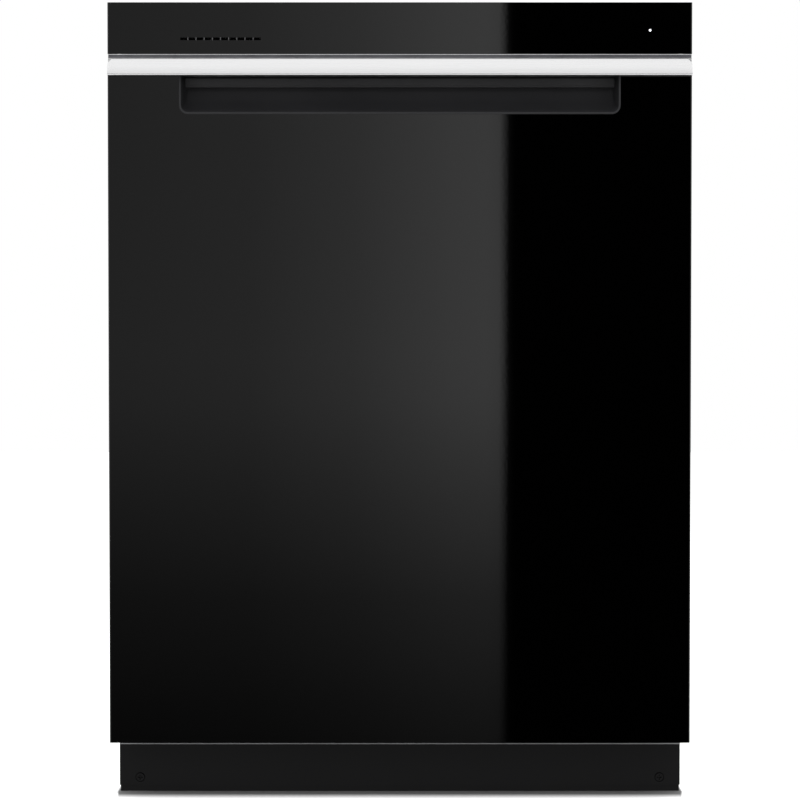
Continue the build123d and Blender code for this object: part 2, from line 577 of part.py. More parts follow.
def build_console():
    shell = soft_front(block(-HALF, HALF, DOOR_FACE, PANEL_BACK, TRIM_HIGH, DOOR_TOP))
    shell -= block(-HALF + 2.5, HALF - 2.5, DOOR_FACE + 3, PANEL_BACK + 1, TRIM_HIGH - 1, DOOR_TOP - 3)
    for i in range(SLOT_COUNT):
        x = SLOT_LEFT + i * SLOT_PITCH
        z0, z1 = SLOT_Z - SLOT_HEIGHT / 2, SLOT_Z + SLOT_HEIGHT / 2
        shell -= block(x, x + SLOT_WIDTH, DOOR_FACE - 1, DOOR_FACE + 4, z0, z1)
    shell -= rod_y(LAMP_X, LAMP_Z, LAMP_R + RUN, DOOR_FACE - 1, DOOR_FACE + 4)
    shell -= block(-150, 150, KEY_Y - 11, KEY_Y + 11, DOOR_TOP - 1.4, DOOR_TOP + 1)
    strip = block(-149.8, 149.8, KEY_Y - 10.8, KEY_Y + 10.8, DOOR_TOP - 1.4, DOOR_TOP)
    for x in KEY_X.values():
        window = block(x - 15.5, x + 15.5, KEY_Y - 6.5, KEY_Y + 6.5, DOOR_TOP - 4, DOOR_TOP + 1)
        shell -= window
        strip -= window
    ribs = both_sides(block(6, 8, DOOR_FACE + 2, LATCH_Y + 6, LATCH_Z - 7, LATCH_Z + 7))
    put("console", shell + ribs + rod_x(LATCH_Y, LATCH_Z, 2, -8, 8))
    put("control_strip", strip)
    for name, x in KEY_X.items():
        cap = block(x - 15, x + 15, KEY_Y - 6, KEY_Y + 6, DOOR_TOP - 6, DOOR_TOP + 0.6)
        foot = block(x - 17, x + 17, KEY_Y - 8, KEY_Y + 8, DOOR_TOP - 7, DOOR_TOP - 4.5)
        put(name, fillet(cap.edges().filter_by(Axis.Z), 3) + foot)
    x0, x1 = SLOT_LEFT - 5, SLOT_LEFT + SLOT_PITCH * SLOT_COUNT + 4
    duct = block(x0, x1, DOOR_FACE + 3, -262, 788, 806.5)
    put("vent_duct", duct - block(x0 + 1.5, x1 - 1.5, DOOR_FACE + 2, -261, 789.5, 805))
    lens = rod_y(LAMP_X, LAMP_Z, LAMP_R, DOOR_FACE - 0.15, DOOR_FACE + 4)
    put("indicator_lens", lens + rod_y(LAMP_X, LAMP_Z, 3, DOOR_FACE + 3.1, DOOR_FACE + 7))


def build_latch():
    hook = block(-5, 5, LATCH_Y, -253, LATCH_Z - 3, LATCH_Z + 3)
    hook += block(-5, 5, -258, -253, LATCH_Z - 3, 818) + rod_x(LATCH_Y, LATCH_Z, 6, -5, 5)
    put("latch_hook", hook - rod_x(LATCH_Y, LATCH_Z, 2 + RUN, -6, 6))
    strike = block(-12, 12, -266, -226, 812, 814) - block(-7, 7, -260.5, -250.5, 810, 816)
    put("latch_strike", strike + block(-12, 12, -236, -226, 813, TUB_CEILING))


def build_door_liner():
    frame = block(-296, 296, PANEL_BACK, PANEL_BACK + 1.5, 130, 831)
    sheet, corner = 1.5, 18
    bulge = block(-LINER_HALF, LINER_HALF, PANEL_BACK, LINER_FACE, LINER_LOW, LINER_HIGH)
    bulge = fillet(bulge.edges().filter_by(Axis.Y), corner)
    inside = LINER_HALF - sheet
    hollow = block(-inside, inside, PANEL_BACK - 1, LINER_FACE - sheet, LINER_LOW + sheet, LINER_HIGH - sheet)
    hollow = fillet(hollow.edges().filter_by(Axis.Y), corner - sheet)
    liner = frame + bulge - hollow
    left, right = DISPENSER_LEFT - 0.5, DISPENSER_RIGHT + 0.5
    low, high = DISPENSER_LOW - 0.5, DISPENSER_HIGH + 0.5
    liner -= block(left, right, LINER_FACE - 5, LINER_FACE + 1, low, high)
    liner -= block(-14, 14, PANEL_BACK - 1, PANEL_BACK + 3, LATCH_Z - 4, 822)
    for i in range(7):
        reach = VENT_PITCH if i else 0
        x = VENT_X + reach * math.cos(i * math.pi / 3)
        z = VENT_Z + reach * math.sin(i * math.pi / 3)
        liner -= rod_y(x, z, 4, LINER_FACE - 5, LINER_FACE + 1)
    for x in (-LINER_SCREW_X, LINER_SCREW_X):
        for z in LINER_SCREW_Z:
            liner -= rod_y(x, z, 1.5, PANEL_BACK - 1, PANEL_BACK + 3)
    put("door_liner", liner)
    screws = []
    for x in (-LINER_SCREW_X, LINER_SCREW_X):
        for z in LINER_SCREW_Z:
            head = rod_y(x, z, 2.8, PANEL_BACK + 1.5, PANEL_BACK + 3)
            screws.append(head + rod_y(x, z, 1.4, PANEL_BACK - 8, PANEL_BACK + 2))
    put("liner_screws", Part() + screws)


def build_hinges():
    plate = block(286, 290, -299, -258, 78, 300) + block(286, 290, -260, PANEL_BACK - 2, 140, 300)
    plate += block(286, 297, PANEL_BACK - 4, PANEL_BACK - 2, 140, 300)
    drum = rod_x(HINGE_Y, HINGE_Z, 24, 290, 297)
    groove = rod_x(HINGE_Y, HINGE_Z, 25, 291.8, 295.2)
    groove -= rod_x(HINGE_Y, HINGE_Z, CABLE_R - 1.4, 291.8, 295.2)
    arm = plate + (drum - groove) - rod_x(HINGE_Y, HINGE_Z, PIN_R + RUN, 280, 300)
    put("hinge_arms", both_sides(arm))
    line_z = HINGE_Z + CABLE_R
    put("spring_cables", both_sides(rod_y(SPRING_X, line_z, 1.2, HINGE_Y, -163)))
    put("spring_hooks", both_sides(block(291.5, 295.5, -163, -150, line_z - 4, line_z + 4)))
    coil = rod_y(SPRING_X, line_z, 6.5, -150, 58) - rod_y(SPRING_X, line_z, 4.5, -149, 57)
    put("door_springs", both_sides(coil))


def build_dispenser():
    back, face = LINER_FACE - 21, LINER_FACE + 1.5
    body = block(DISPENSER_LEFT, DISPENSER_RIGHT, back, face, DISPENSER_LOW, DISPENSER_HIGH)
    body -= block(-76, -14, back + 3, face + 1, 488, 550)
    body -= rod_y(CAP_X, CAP_Z, CAP_R + 0.5, face - 9.5, face + 1)
    for x0, x1, lip0, lip1 in ((-86, -83.3, -86, -81), (-8.7, -6, -11, -6)):
        body += block(x0, x1, face - 1, face + 4, DISPENSER_LOW, DISPENSER_HIGH - 4)
        body += block(lip0, lip1, face + 3.3, face + 4.3, DISPENSER_LOW, DISPENSER_HIGH - 4)
    left, right = DISPENSER_LEFT, DISPENSER_RIGHT
    rim = block(left - 4, right + 4, LINER_FACE - 4, LINER_FACE - 1.5, DISPENSER_LOW - 4, DISPENSER_HIGH + 4)
    rim -= block(left + 1, right - 1, back, face, DISPENSER_LOW + 1, DISPENSER_HIGH - 1)
    put("dispenser", body + rim)
    lid = block(-83, -9, face + GLIDE, face + 3, 482, 556)
    grip = block(-60, -32, face + 2, face + 5.5, 490, 496)
    put("detergent_lid", lid + grip)
    cap = rod_y(CAP_X, CAP_Z, CAP_R, face - 9, face + 4)
    cap += block(CAP_X - 17, CAP_X + 17, face + 3, face + 8, CAP_Z - 4, CAP_Z + 4)
    put("rinse_cap", cap)


# ---------------------------------------------------------------- build and write
build_tub()
build_seal()
build_blanket()
build_counter_brackets()
build_base_frame()
build_base_pan()
build_toe_panels()
build_feet()
build_sump()
build_filter()
build_float()
build_heater()
build_lower_arm()
build_pumps()
build_feed_tube()
build_plumbing()
build_junction_box()
build_lower_rack()
build_cutlery_basket()
build_upper_rack()
build_upper_rails()
build_rack_guides()
build_third_rack()
build_door_panel()
build_handle()
build_console()
build_latch()
build_door_liner()
build_hinges()
build_dispenser()

os.makedirs("parts", exist_ok=True)
for node_name, shape in nodes.items():
    export_step(shape, os.path.join("parts", node_name + ".step"))
print(len(nodes), "nodes")
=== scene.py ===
"""Looks for the built-in dishwasher: finishes, wire racks, soft parts, studio light and camera.

Everything is in metres in the CAD frame: +X right, +Y into the cabinet, +Z up, door facing -Y.
"""

import json
import math

import bmesh
import bpy
from mathutils import Matrix, Vector, noise


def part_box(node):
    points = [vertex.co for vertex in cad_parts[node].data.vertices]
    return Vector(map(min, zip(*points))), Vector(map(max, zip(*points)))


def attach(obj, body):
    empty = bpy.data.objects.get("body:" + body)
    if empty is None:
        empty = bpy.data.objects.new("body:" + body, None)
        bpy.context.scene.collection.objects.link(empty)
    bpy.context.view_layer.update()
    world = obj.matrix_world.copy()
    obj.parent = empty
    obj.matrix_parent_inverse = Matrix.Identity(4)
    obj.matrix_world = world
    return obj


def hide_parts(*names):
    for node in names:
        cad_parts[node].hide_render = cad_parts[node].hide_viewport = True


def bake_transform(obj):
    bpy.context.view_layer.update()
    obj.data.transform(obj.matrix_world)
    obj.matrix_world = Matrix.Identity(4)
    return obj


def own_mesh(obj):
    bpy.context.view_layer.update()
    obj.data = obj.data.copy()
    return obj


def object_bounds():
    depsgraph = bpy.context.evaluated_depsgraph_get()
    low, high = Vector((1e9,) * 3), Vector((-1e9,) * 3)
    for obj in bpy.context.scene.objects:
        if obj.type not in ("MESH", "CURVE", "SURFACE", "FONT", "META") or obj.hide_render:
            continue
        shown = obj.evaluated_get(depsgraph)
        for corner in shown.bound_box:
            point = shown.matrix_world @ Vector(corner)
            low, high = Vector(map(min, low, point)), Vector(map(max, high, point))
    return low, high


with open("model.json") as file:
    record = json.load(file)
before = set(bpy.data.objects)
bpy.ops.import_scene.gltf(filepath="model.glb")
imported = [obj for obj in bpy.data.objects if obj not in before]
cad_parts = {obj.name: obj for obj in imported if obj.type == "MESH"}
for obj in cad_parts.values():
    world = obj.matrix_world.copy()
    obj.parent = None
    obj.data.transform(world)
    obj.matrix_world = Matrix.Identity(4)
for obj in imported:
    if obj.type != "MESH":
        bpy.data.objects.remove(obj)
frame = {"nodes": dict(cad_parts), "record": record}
CAD_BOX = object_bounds()
MM = 0.001
SIDES = (-1, 1)


# ---------------------------------------------------------------- node helpers
class Shader:
    """A material under construction: its node tree, its Principled BSDF and a few shorthands."""

    def __init__(self, name, color, rough, metal=0.0, specular=0.5):
        self.material = bpy.data.materials.new(name)
        self.material.use_nodes = True
        self.tree = self.material.node_tree
        self.nodes = self.tree.nodes
        self.bsdf = self.nodes["Principled BSDF"]
        self.set("Base Color", (*color, 1.0))
        self.set("Roughness", rough)
        self.set("Metallic", metal)
        self.set("Specular IOR Level", specular)
        self.coord = self.nodes.new("ShaderNodeTexCoord")
        self.height = None

    def set(self, socket, value):
        self.bsdf.inputs[socket].default_value = value
        return self

    def link(self, source, target):
        self.tree.links.new(source, target)

    def texture(self, kind, scale, stretch=(1, 1, 1), **settings):
        """A texture in the part's own coordinates, stretched along the axes."""
        mapping = self.nodes.new("ShaderNodeMapping")
        mapping.inputs["Scale"].default_value = stretch
        self.link(self.coord.outputs["Object"], mapping.inputs["Vector"])
        node = self.nodes.new("ShaderNodeTex" + kind)
        self.link(mapping.outputs["Vector"], node.inputs["Vector"])
        node.inputs["Scale"].default_value = scale
        for key, value in settings.items():
            if key in node.inputs:
                node.inputs[key].default_value = value
            else:
                setattr(node, key, value)
        return node.outputs[0]

    def spread(self, source, low, high, start=0.3, end=0.7):
        """Maps a texture's middle range to low..high."""
        node = self.nodes.new("ShaderNodeMapRange")
        node.inputs["From Min"].default_value = start
        node.inputs["From Max"].default_value = end
        node.inputs["To Min"].default_value = low
        node.inputs["To Max"].default_value = high
        self.link(source, node.inputs["Value"])
        return node.outputs["Result"]

    def tint(self, source, dark, light, start=0.3, end=0.7):
        """Colours the surface between two tones by a texture."""
        node = self.nodes.new("ShaderNodeValToRGB")
        node.color_ramp.elements[0].position = start
        node.color_ramp.elements[0].color = (*dark, 1.0)
        node.color_ramp.elements[1].position = end
        node.color_ramp.elements[1].color = (*light, 1.0)
        self.link(source, node.inputs["Fac"])
        self.link(node.outputs["Color"], self.bsdf.inputs["Base Color"])
        return self

    def gloss(self, source, low, high, start=0.3, end=0.7):
        """Varies the roughness between two values by a texture."""
        self.link(self.spread(source, low, high, start, end), self.bsdf.inputs["Roughness"])
        return self

    def bump(self, source, depth, strength=1.0):
        """Adds fine relief of the given depth in metres."""
        node = self.nodes.new("ShaderNodeBump")
        node.inputs["Distance"].default_value = depth
        node.inputs["Strength"].default_value = strength
        self.link(source, node.inputs["Height"])
        if self.height:
            self.link(self.height, node.inputs["Normal"])
        self.height = node.outputs["Normal"]
        self.link(self.height, self.bsdf.inputs["Normal"])
        return self


def enamel(name, color):
    """Gloss enamel: deep colour, a faint orange peel and the lightest haze."""
    s = Shader(name, color, 0.015)
    s.gloss(s.texture("Noise", 9, Detail=3), 0.010, 0.018)
    return s.bump(s.texture("Noise", 260, Detail=1), 3e-6, 0.5)


def brushed(name, color, rough, grain_axis, fine=1.0, anisotropic=0.5):
    """Brushed steel, with grain lines running along one axis."""
    stretch = [1400 * fine] * 3
    stretch[grain_axis] = 9
    s = Shader(name, color, rough, metal=1.0)
    s.set("Anisotropic", anisotropic)
    grain = s.texture("Noise", 1, stretch, Detail=3)
    s.gloss(grain, rough * 0.8, rough * 1.25)
    lighter = tuple(min(1.0, c * 1.03) for c in color)
    s.tint(grain, tuple(c * 0.95 for c in color), lighter)
    return s.bump(grain, 1.5e-6, 0.5)


def moulded(name, color, rough, grain=420, depth=2e-5, specular=0.5):
    """Injection-moulded plastic with a fine spark texture and slight tone drift."""
    s = Shader(name, color, rough, specular=specular)
    s.tint(s.texture("Noise", 14, Detail=2), tuple(c * 0.9 for c in color), tuple(c * 1.08 for c in color))
    s.gloss(s.texture("Noise", 35, Detail=3), rough * 0.85, rough * 1.15)
    return s.bump(s.texture("Noise", grain * 4, Detail=2), depth, 0.35)


def powder_coat(name, color, rough):
    """Low-gloss powder coat with a fine pebble."""
    s = Shader(name, color, rough, specular=0.16)
    s.gloss(s.texture("Noise", 20, Detail=3), rough * 0.9, rough * 1.12)
    return s.bump(s.texture("Voronoi", 900), 2.5e-5, 0.4)


def galvanised(name, color, rough):
    """Hot-dip zinc with its crystal spangle."""
    s = Shader(name, color, rough, metal=1.0)
    cells = s.texture("Voronoi", 110, feature="F1", Randomness=1.0)
    spangle = s.texture("Noise", 60, Detail=4)
    s.tint(spangle, tuple(c * 0.78 for c in color), tuple(min(1, c * 1.12) for c in color))
    s.gloss(cells, rough * 0.75, rough * 1.3, 0.0, 0.8)
    return s.bump(spangle, 1e-5, 0.3)


def felt(name, color):
    """Needled felt: matted fibres, lint and an uneven nap."""
    s = Shader(name, color, 0.95, specular=0.15)
    s.set("Sheen Weight", 0.35)
    s.set("Sheen Roughness", 0.6)
    fibres = s.texture("Noise", 900, (1, 0.35, 1), Detail=6, Roughness=0.75)
    s.tint(fibres, tuple(c * 0.45 for c in color), tuple(c * 1.9 for c in color))
    s.bump(s.texture("Noise", 70, Detail=3), 6e-4, 0.4)
    return s.bump(fibres, 3e-4, 0.7)


def rubber(name, color, rough=0.6):
    """Soft rubber with a dusty bloom."""
    s = Shader(name, color, rough, specular=0.3)
    s.tint(s.texture("Noise", 40, Detail=5), tuple(c * 0.8 for c in color), tuple(c * 1.35 for c in color))
    return s.bump(s.texture("Noise", 700, Detail=2), 3e-5, 0.3)


def heat_tinted(name):
    """Sheath tube, straw and bronze where it has been hot."""
    s = Shader(name, (0.3, 0.26, 0.22), 0.32, metal=1.0)
    s.tint(s.texture("Noise", 12, Detail=4), (0.16, 0.14, 0.15), (0.45, 0.37, 0.28))
    return s.bump(s.texture("Noise", 500, Detail=2), 1e-5, 0.4)


def sieve(name, color):
    """Fine woven filter mesh over a moulded frame."""
    s = Shader(name, color, 0.42)
    holes = s.texture("Voronoi", 520, Randomness=0.0)
    s.tint(holes, tuple(c * 1.2 for c in color), tuple(c * 0.25 for c in color), 0.3, 0.45)
    return s.bump(holes, 2e-4, 0.7)


def lamp_glow(name):
    """The status lamp's light pipe, lit white."""
    s = Shader(name, (0.9, 0.92, 0.95), 0.2)
    s.gloss(s.texture("Noise", 900, Detail=2), 0.15, 0.3)
    s.set("Emission Color", (0.92, 0.96, 1.0, 1.0))
    return s.set("Emission Strength", 1.6)


FINISH = {
    "gloss_black": enamel("gloss_black", (0.0001, 0.0001, 0.0001)),
    "trim_steel": brushed("trim_steel", (0.86, 0.86, 0.865), 0.26, 0, 3.0, 0.6),
    "pocket_black": moulded("pocket_black", (0.013, 0.013, 0.014), 0.45, specular=0.18),
    # painted light: a black paler than the pocket's, which brightens a band across the pocket's shaded hollow
    "grip_black_painted_light": moulded("grip_black_painted_light", (0.019, 0.019, 0.020), 0.5, specular=0.16),
    "key_black": moulded("key_black", (0.015, 0.015, 0.016), 0.3),
    "lamp": lamp_glow("lamp"),
    # painted highlight: a pale grey for the rolled edge under the door, standing in for the light line along
    # the access panel's top
    "pale_bead_highlight": moulded("pale_bead_highlight", (0.14, 0.14, 0.145), 0.4),
    # painted highlight: the grey of the bars between the console's vent slots stands in for the light on them
    "vent_highlight_grey": moulded("vent_highlight_grey", (0.058, 0.058, 0.060), 0.4, specular=0.3),
    "kick_black": powder_coat("kick_black", (0.0025, 0.0025, 0.0027), 0.5),
    "zinc": galvanised("zinc", (0.62, 0.63, 0.66), 0.38),
    "spring_steel": galvanised("spring_steel", (0.36, 0.36, 0.38), 0.3),
    "frame_steel": galvanised("frame_steel", (0.58, 0.59, 0.62), 0.42),
    "tub_steel": brushed("tub_steel", (0.66, 0.66, 0.68), 0.28, 1),
    "liner_steel": brushed("liner_steel", (0.68, 0.68, 0.70), 0.26, 2),
    "seal_rubber": rubber("seal_rubber", (0.045, 0.045, 0.05)),
    "felt": felt("felt", (0.030, 0.031, 0.034)),
    "pan_plastic": moulded("pan_plastic", (0.06, 0.06, 0.068), 0.5),
    "filter_plastic": sieve("filter_plastic", (0.27, 0.28, 0.30)),
    "arm_plastic": moulded("arm_plastic", (0.34, 0.35, 0.37), 0.42),
    "heater_steel": heat_tinted("heater_steel"),
    "pump_plastic": moulded("pump_plastic", (0.035, 0.035, 0.04), 0.48),
    "valve_plastic": moulded("valve_plastic", (0.68, 0.68, 0.65), 0.45),
    "braided_hose": galvanised("braided_hose", (0.5, 0.51, 0.53), 0.4),
    "rack_vinyl": moulded("rack_vinyl", (0.27, 0.28, 0.30), 0.28, 200, 1e-5),
    "rack_plastic": moulded("rack_plastic", (0.20, 0.21, 0.23), 0.4),
    "rail_steel": brushed("rail_steel", (0.7, 0.7, 0.72), 0.24, 1),
    "dispenser_plastic": moulded("dispenser_plastic", (0.24, 0.25, 0.27), 0.3),
}

SLOT_OF = {part["node"]: part["material_slot"] for part in frame["record"]["subparts"]}
DEFAULT_SOFT_EDGE = 0.3  # bevel widths, in millimetres
SOFT_EDGE = {"gloss_black": 0.5, "kick_black": 0.4, "valve_plastic": 0.8, "pump_plastic": 1.2,
             "pan_plastic": 0.8, "dispenser_plastic": 1.0, "rack_plastic": 0.6, "arm_plastic": 0.8}


def finish_node(name, obj):
    """Gives a CAD node its material, softened edges and smooth round faces."""
    slot = SLOT_OF[name]
    obj.data.materials.clear()
    obj.data.materials.append(FINISH[slot].material)
    weld = obj.modifiers.new("weld", "WELD")
    weld.merge_threshold = 1e-5
    whole = obj.modifiers.new("whole_faces", "DECIMATE")
    whole.decimate_type = "DISSOLVE"
    whole.angle_limit = math.radians(0.5)
    bevel = obj.modifiers.new("soft_edges", "BEVEL")
    bevel.width = SOFT_EDGE.get(slot, DEFAULT_SOFT_EDGE) * MM
    bevel.segments = 2
    bevel.limit_method = "ANGLE"
    bevel.angle_limit = math.radians(35)
    flat = obj.modifiers.new("flat_faces", "WEIGHTED_NORMAL")
    flat.keep_sharp = True


for node_name, node in frame["nodes"].items():
    finish_node(node_name, node)


# ---------------------------------------------------------------- mesh helpers
def spread(first, last, count):
    """Evenly spaced values, both ends included."""
    return [first + (last - first) * i / (count - 1) for i in range(count)]


def rounded(points, radius, steps=5, closed=False):
    """A path whose corners are turned into arcs."""
    points = [Vector(p) for p in points]
    if closed:
        triples = [(points[i - 1], points[i], points[(i + 1) % len(points)]) for i in range(len(points))]
        result = []
    else:
        triples = list(zip(points, points[1:], points[2:]))
        result = [points[0]]
    for before, corner, after in triples:
        back, on = before - corner, after - corner
        half = back.angle(on) / 2
        reach = min(radius / math.tan(half), 0.49 * back.length, 0.49 * on.length)
        back.normalize()
        on.normalize()
        centre = corner + (back + on).normalized() * reach / math.cos(half)
        start, end = corner + back * reach - centre, corner + on * reach - centre
        result += [centre + start.slerp(end, k / steps) * start.length for k in range(steps + 1)]
    return result if closed else result + [points[-1]]


def bridge(bm, first, second):
    """Joins two closed rings that have the same number of vertices."""
    for i in range(len(first)):
        j = (i + 1) % len(first)
        bm.faces.new((first[i], first[j], second[j], second[i]))


def dome(bm, ring, centre, outward, radius):
    """Closes a ring with a low dome."""
    inner = [bm.verts.new(centre + (v.co - centre) * 0.65 + outward * radius * 0.45) for v in ring]
    bridge(bm, ring, inner)
    tip = bm.verts.new(centre + outward * radius * 0.62)
    for i in range(len(inner)):
        bm.faces.new((inner[i], inner[(i + 1) % len(inner)], tip))


def add_tube(bm, path, radius, sides=8, closed=False):
    """A round tube along a path. radius is one number, or one for each point."""
    path = [Vector(p) for p in path]
    count = len(path)
    radii = radius if isinstance(radius, list) else [radius] * count
    angles = [2 * math.pi * k / sides for k in range(sides)]
    rings = []
    normal = None
    for i, point in enumerate(path):
        before = path[i - 1] if closed or i else point
        after = path[(i + 1) % count] if closed or i + 1 < count else point
        tangent = (after - before).normalized()
        if normal is None:
            normal = tangent.orthogonal()
        normal = (normal - tangent * normal.dot(tangent)).normalized()
        side = tangent.cross(normal)
        spokes = [math.cos(a) * normal + math.sin(a) * side for a in angles]
        rings.append([bm.verts.new(point + spoke * radii[i]) for spoke in spokes])
    for i in range(count if closed else count - 1):
        bridge(bm, rings[i], rings[(i + 1) % count])
    if not closed:
        dome(bm, rings[0], path[0], (path[0] - path[1]).normalized(), radii[0])
        dome(bm, rings[-1], path[-1], (path[-1] - path[-2]).normalized(), radii[-1])


def spokes_about(axis, steps):
    """The unit axis, and unit vectors evenly spaced round it."""
    axis = Vector(axis).normalized()
    normal = axis.orthogonal().normalized()
    side = axis.cross(normal)
    angles = [2 * math.pi * k / steps for k in range(steps)]
    return axis, [math.cos(a) * normal + math.sin(a) * side for a in angles]


def loft(bm, sections):
    """Joins a row of closed sections and caps both ends."""
    for first, second in zip(sections, sections[1:]):
        bridge(bm, first, second)
    bm.faces.new(sections[0])
    bm.faces.new(sections[-1])


def join_rows(bm, rows):
    """Joins open rows of vertices into a sheet."""
    for first, second in zip(rows, rows[1:]):
        for corners in zip(first, first[1:], second[1:], second):
            bm.faces.new(corners)


def add_lathe(bm, profile, centre, axis, steps=32):
    """Turns a profile of (along, radius) points about an axis. Its first and last points are closed."""
    axis, spokes = spokes_about(axis, steps)
    rings = []
    for along, radius in profile:
        hub = Vector(centre) + axis * along
        rings.append([bm.verts.new(hub + radius * spoke) for spoke in spokes])
    loft(bm, rings)


def add_ring(bm, profile, centre, axis, steps=32):
    """Turns a closed profile of (along, radius) points about an axis."""
    axis, spokes = spokes_about(axis, steps)
    rings = []
    for spoke in spokes:
        rings.append([bm.verts.new(Vector(centre) + axis * along + spoke * r) for along, r in profile])
    for k in range(steps):
        bridge(bm, rings[k], rings[(k + 1) % steps])


def add_block(bm, low, high, soft=0.8 * MM):
    """A box with softened edges."""
    low, high = Vector(low), Vector(high)
    result = bmesh.ops.create_cube(bm, size=1.0)
    size = high - low
    for v in result["verts"]:
        v.co = Vector([c * s for c, s in zip(v.co, size)]) + (low + high) / 2
    edges = {e for v in result["verts"] for e in v.link_edges}
    bmesh.ops.bevel(bm, geom=list(edges), offset=soft, segments=2, affect="EDGES")


def side_block(bm, side, x_span, y_span, z_span, soft):
    """A block on one side of the middle. x_span is counted outward from the middle."""
    x0, x1 = sorted((side * x_span[0], side * x_span[1]))
    add_block(bm, (x0, y_span[0], z_span[0]), (x1, y_span[1], z_span[1]), soft)


def add_strip(bm, outline, x0, x1):
    """An outline of (y, z) points drawn out along X."""
    loft(bm, [[bm.verts.new((x, y, z)) for y, z in outline] for x in (x0, x1)])


def piece(name, bm, finish, body, nodes=(), sharp=40):
    """Turns a bmesh into an object with a finish that rides on a body and may replace CAD nodes."""
    bmesh.ops.recalc_face_normals(bm, faces=bm.faces)
    mesh = bpy.data.meshes.new(name)
    bm.to_mesh(mesh)
    bm.free()
    mesh.polygons.foreach_set("use_smooth", [True] * len(mesh.polygons))
    mesh.set_sharp_from_angle(angle=math.radians(sharp))
    mesh.materials.append(FINISH[finish].material)
    obj = bpy.data.objects.new(name, mesh)
    bpy.context.scene.collection.objects.link(obj)
    if body:
        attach(obj, body)
    if nodes:
        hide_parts(*nodes)
    return obj


# ---------------------------------------------------------------- racks
WIRE, RIM_WIRE = 1.6 * MM, 2.5 * MM
CORNER_INSET = 0.032  # from a rack's corner to its first wire
CORNER_BEND = 0.028
TINE_SEAT = 0.006  # from a rack's floor to the rail that its tines stand on
PIVOT_WIRE = 1.9 * MM  # the thicker wire that a folding part turns on


def wire_basket(bm, half, front, back, floor, rim, across, along, wire=WIRE, bend=0.012):
    """U-shaped wires both ways, welded to a heavy rim and a lighter waist."""
    near, far, top, base = front + wire, back - wire, rim - wire, floor + wire
    for x in spread(-half + CORNER_INSET, half - CORNER_INSET, across):
        corners = [(x, near, top), (x, near, base), (x, far, base), (x, far, top)]
        add_tube(bm, rounded(corners, bend), wire)
    side, level = half - wire, floor + 3 * wire
    for y in spread(front + CORNER_INSET, back - CORNER_INSET, along):
        corners = [(-side, y, top), (-side, y, level), (side, y, level), (side, y, top)]
        add_tube(bm, rounded(corners, bend), wire)
    waist = floor + 0.45 * (rim - floor)
    for z, radius in ((rim - RIM_WIRE, RIM_WIRE), (waist, wire * 1.15)):
        x, y0, y1 = half - radius, front + radius, back - radius
        loop = [(-x, y0, z), (x, y0, z), (x, y1, z), (-x, y1, z)]
        add_tube(bm, rounded(loop, CORNER_BEND, 6, closed=True), radius, 10, closed=True)


def add_tines(bm, x, base, top, ys, lean=0.0):
    """A row of upright tines with rounded vinyl tips."""
    bulb = WIRE * 1.25
    for y in ys:
        tip = Vector((x + lean, y, top - WIRE))
        foot = Vector((x, y, base))
        path = [foot, foot.lerp(tip, 0.9), foot.lerp(tip, 0.93), tip]
        add_tube(bm, path, [WIRE, WIRE, bulb, bulb])


def tine_row(bm, x, floor, rail_y, height, ys, lean):
    """A row of tines with the rail that it stands on."""
    seat = floor + TINE_SEAT
    add_tube(bm, [(x, rail_y[0], seat), (x, rail_y[1], seat)], WIRE * 1.1)
    add_tines(bm, x, seat, floor + height, ys, lean)


LOWER_HALF, LOWER_FLOOR = 0.246, 0.190
UPPER_HALF, UPPER_FLOOR, UPPER_RIM = 0.244, 0.478, 0.590
TRAY_HALF, TRAY_FLOOR = 0.250, 0.722
TINE_Y = [y + 0.0015 for y in spread(-0.100, 0.220, 11)]


def wheel_axes(node):
    """A pair of wheels: the y and z of their centre line, their outer x and their radius."""
    low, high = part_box(node)
    return (low.y + high.y) / 2, (low.z + high.z) / 2, high.x, (high.z - low.z) / 2


def lower_rack():
    low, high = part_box("lower_rack")
    bm = bmesh.new()
    wire_basket(bm, LOWER_HALF, low.y, high.y, LOWER_FLOOR, high.z, 15, 14)
    for x in (-0.1485, -0.0585):
        tine_row(bm, x, LOWER_FLOOR, (-0.112, 0.232), 0.082, TINE_Y, -0.006)
    piece("lower_rack_wires", bm, "rack_vinyl", "lower_rack", ["lower_rack"])
    bm = bmesh.new()
    hanger_x, shaft_x, soft = (0.2412, 0.2500), 0.248, 3 * MM
    shaft = [(0.0, 0.003), (0.0140, 0.003), (0.0146, 0.0042), (0.0162, 0.0042), (0.0168, 0.003)]
    for node in ("lower_wheels_front", "lower_wheels_rear"):
        y, z, _, _ = wheel_axes(node)
        for side in SIDES:
            clamp_z = (LOWER_FLOOR - 0.006, LOWER_FLOOR + 0.030)
            side_block(bm, side, hanger_x, (y - 0.015, y + 0.015), clamp_z, soft)
            side_block(bm, side, hanger_x, (y - 0.009, y + 0.009), (z - 0.008, LOWER_FLOOR), soft)
            add_lathe(bm, shaft, (side * shaft_x, y, z), (side, 0, 0), 20)
    for y in (TINE_Y[0] - 0.008, TINE_Y[-1] + 0.006):
        add_block(bm, (0.096, y - 0.002, LOWER_FLOOR), (0.104, y + 0.002, 0.2035), 1 * MM)
    piece("lower_rack_fittings", bm, "rack_plastic", "lower_rack")
    bm = bmesh.new()
    rack_grip(bm, low.y, high.z)
    piece("lower_rack_grip", bm, "rail_steel", "lower_rack")


def rack_grip(bm, front, rim):
    """A curved pull along the middle of a rack's front rim."""
    count, half = 24, 0.085
    deep, shallow = 0.014, 0.006
    y0, y1, z1 = front + 0.0002, front + 0.0052, rim - 0.0002
    sections = []
    for i in range(count + 1):
        t = 2 * i / count - 1
        x, z0 = half * t, rim - (deep * (1 - abs(t) ** 3) + shallow)
        ring = rounded([(x, y0, z0), (x, y1, z0), (x, y1, z1), (x, y0, z1)], 1.6 * MM, 3, closed=True)
        sections.append([bm.verts.new(p) for p in ring])
    loft(bm, sections)


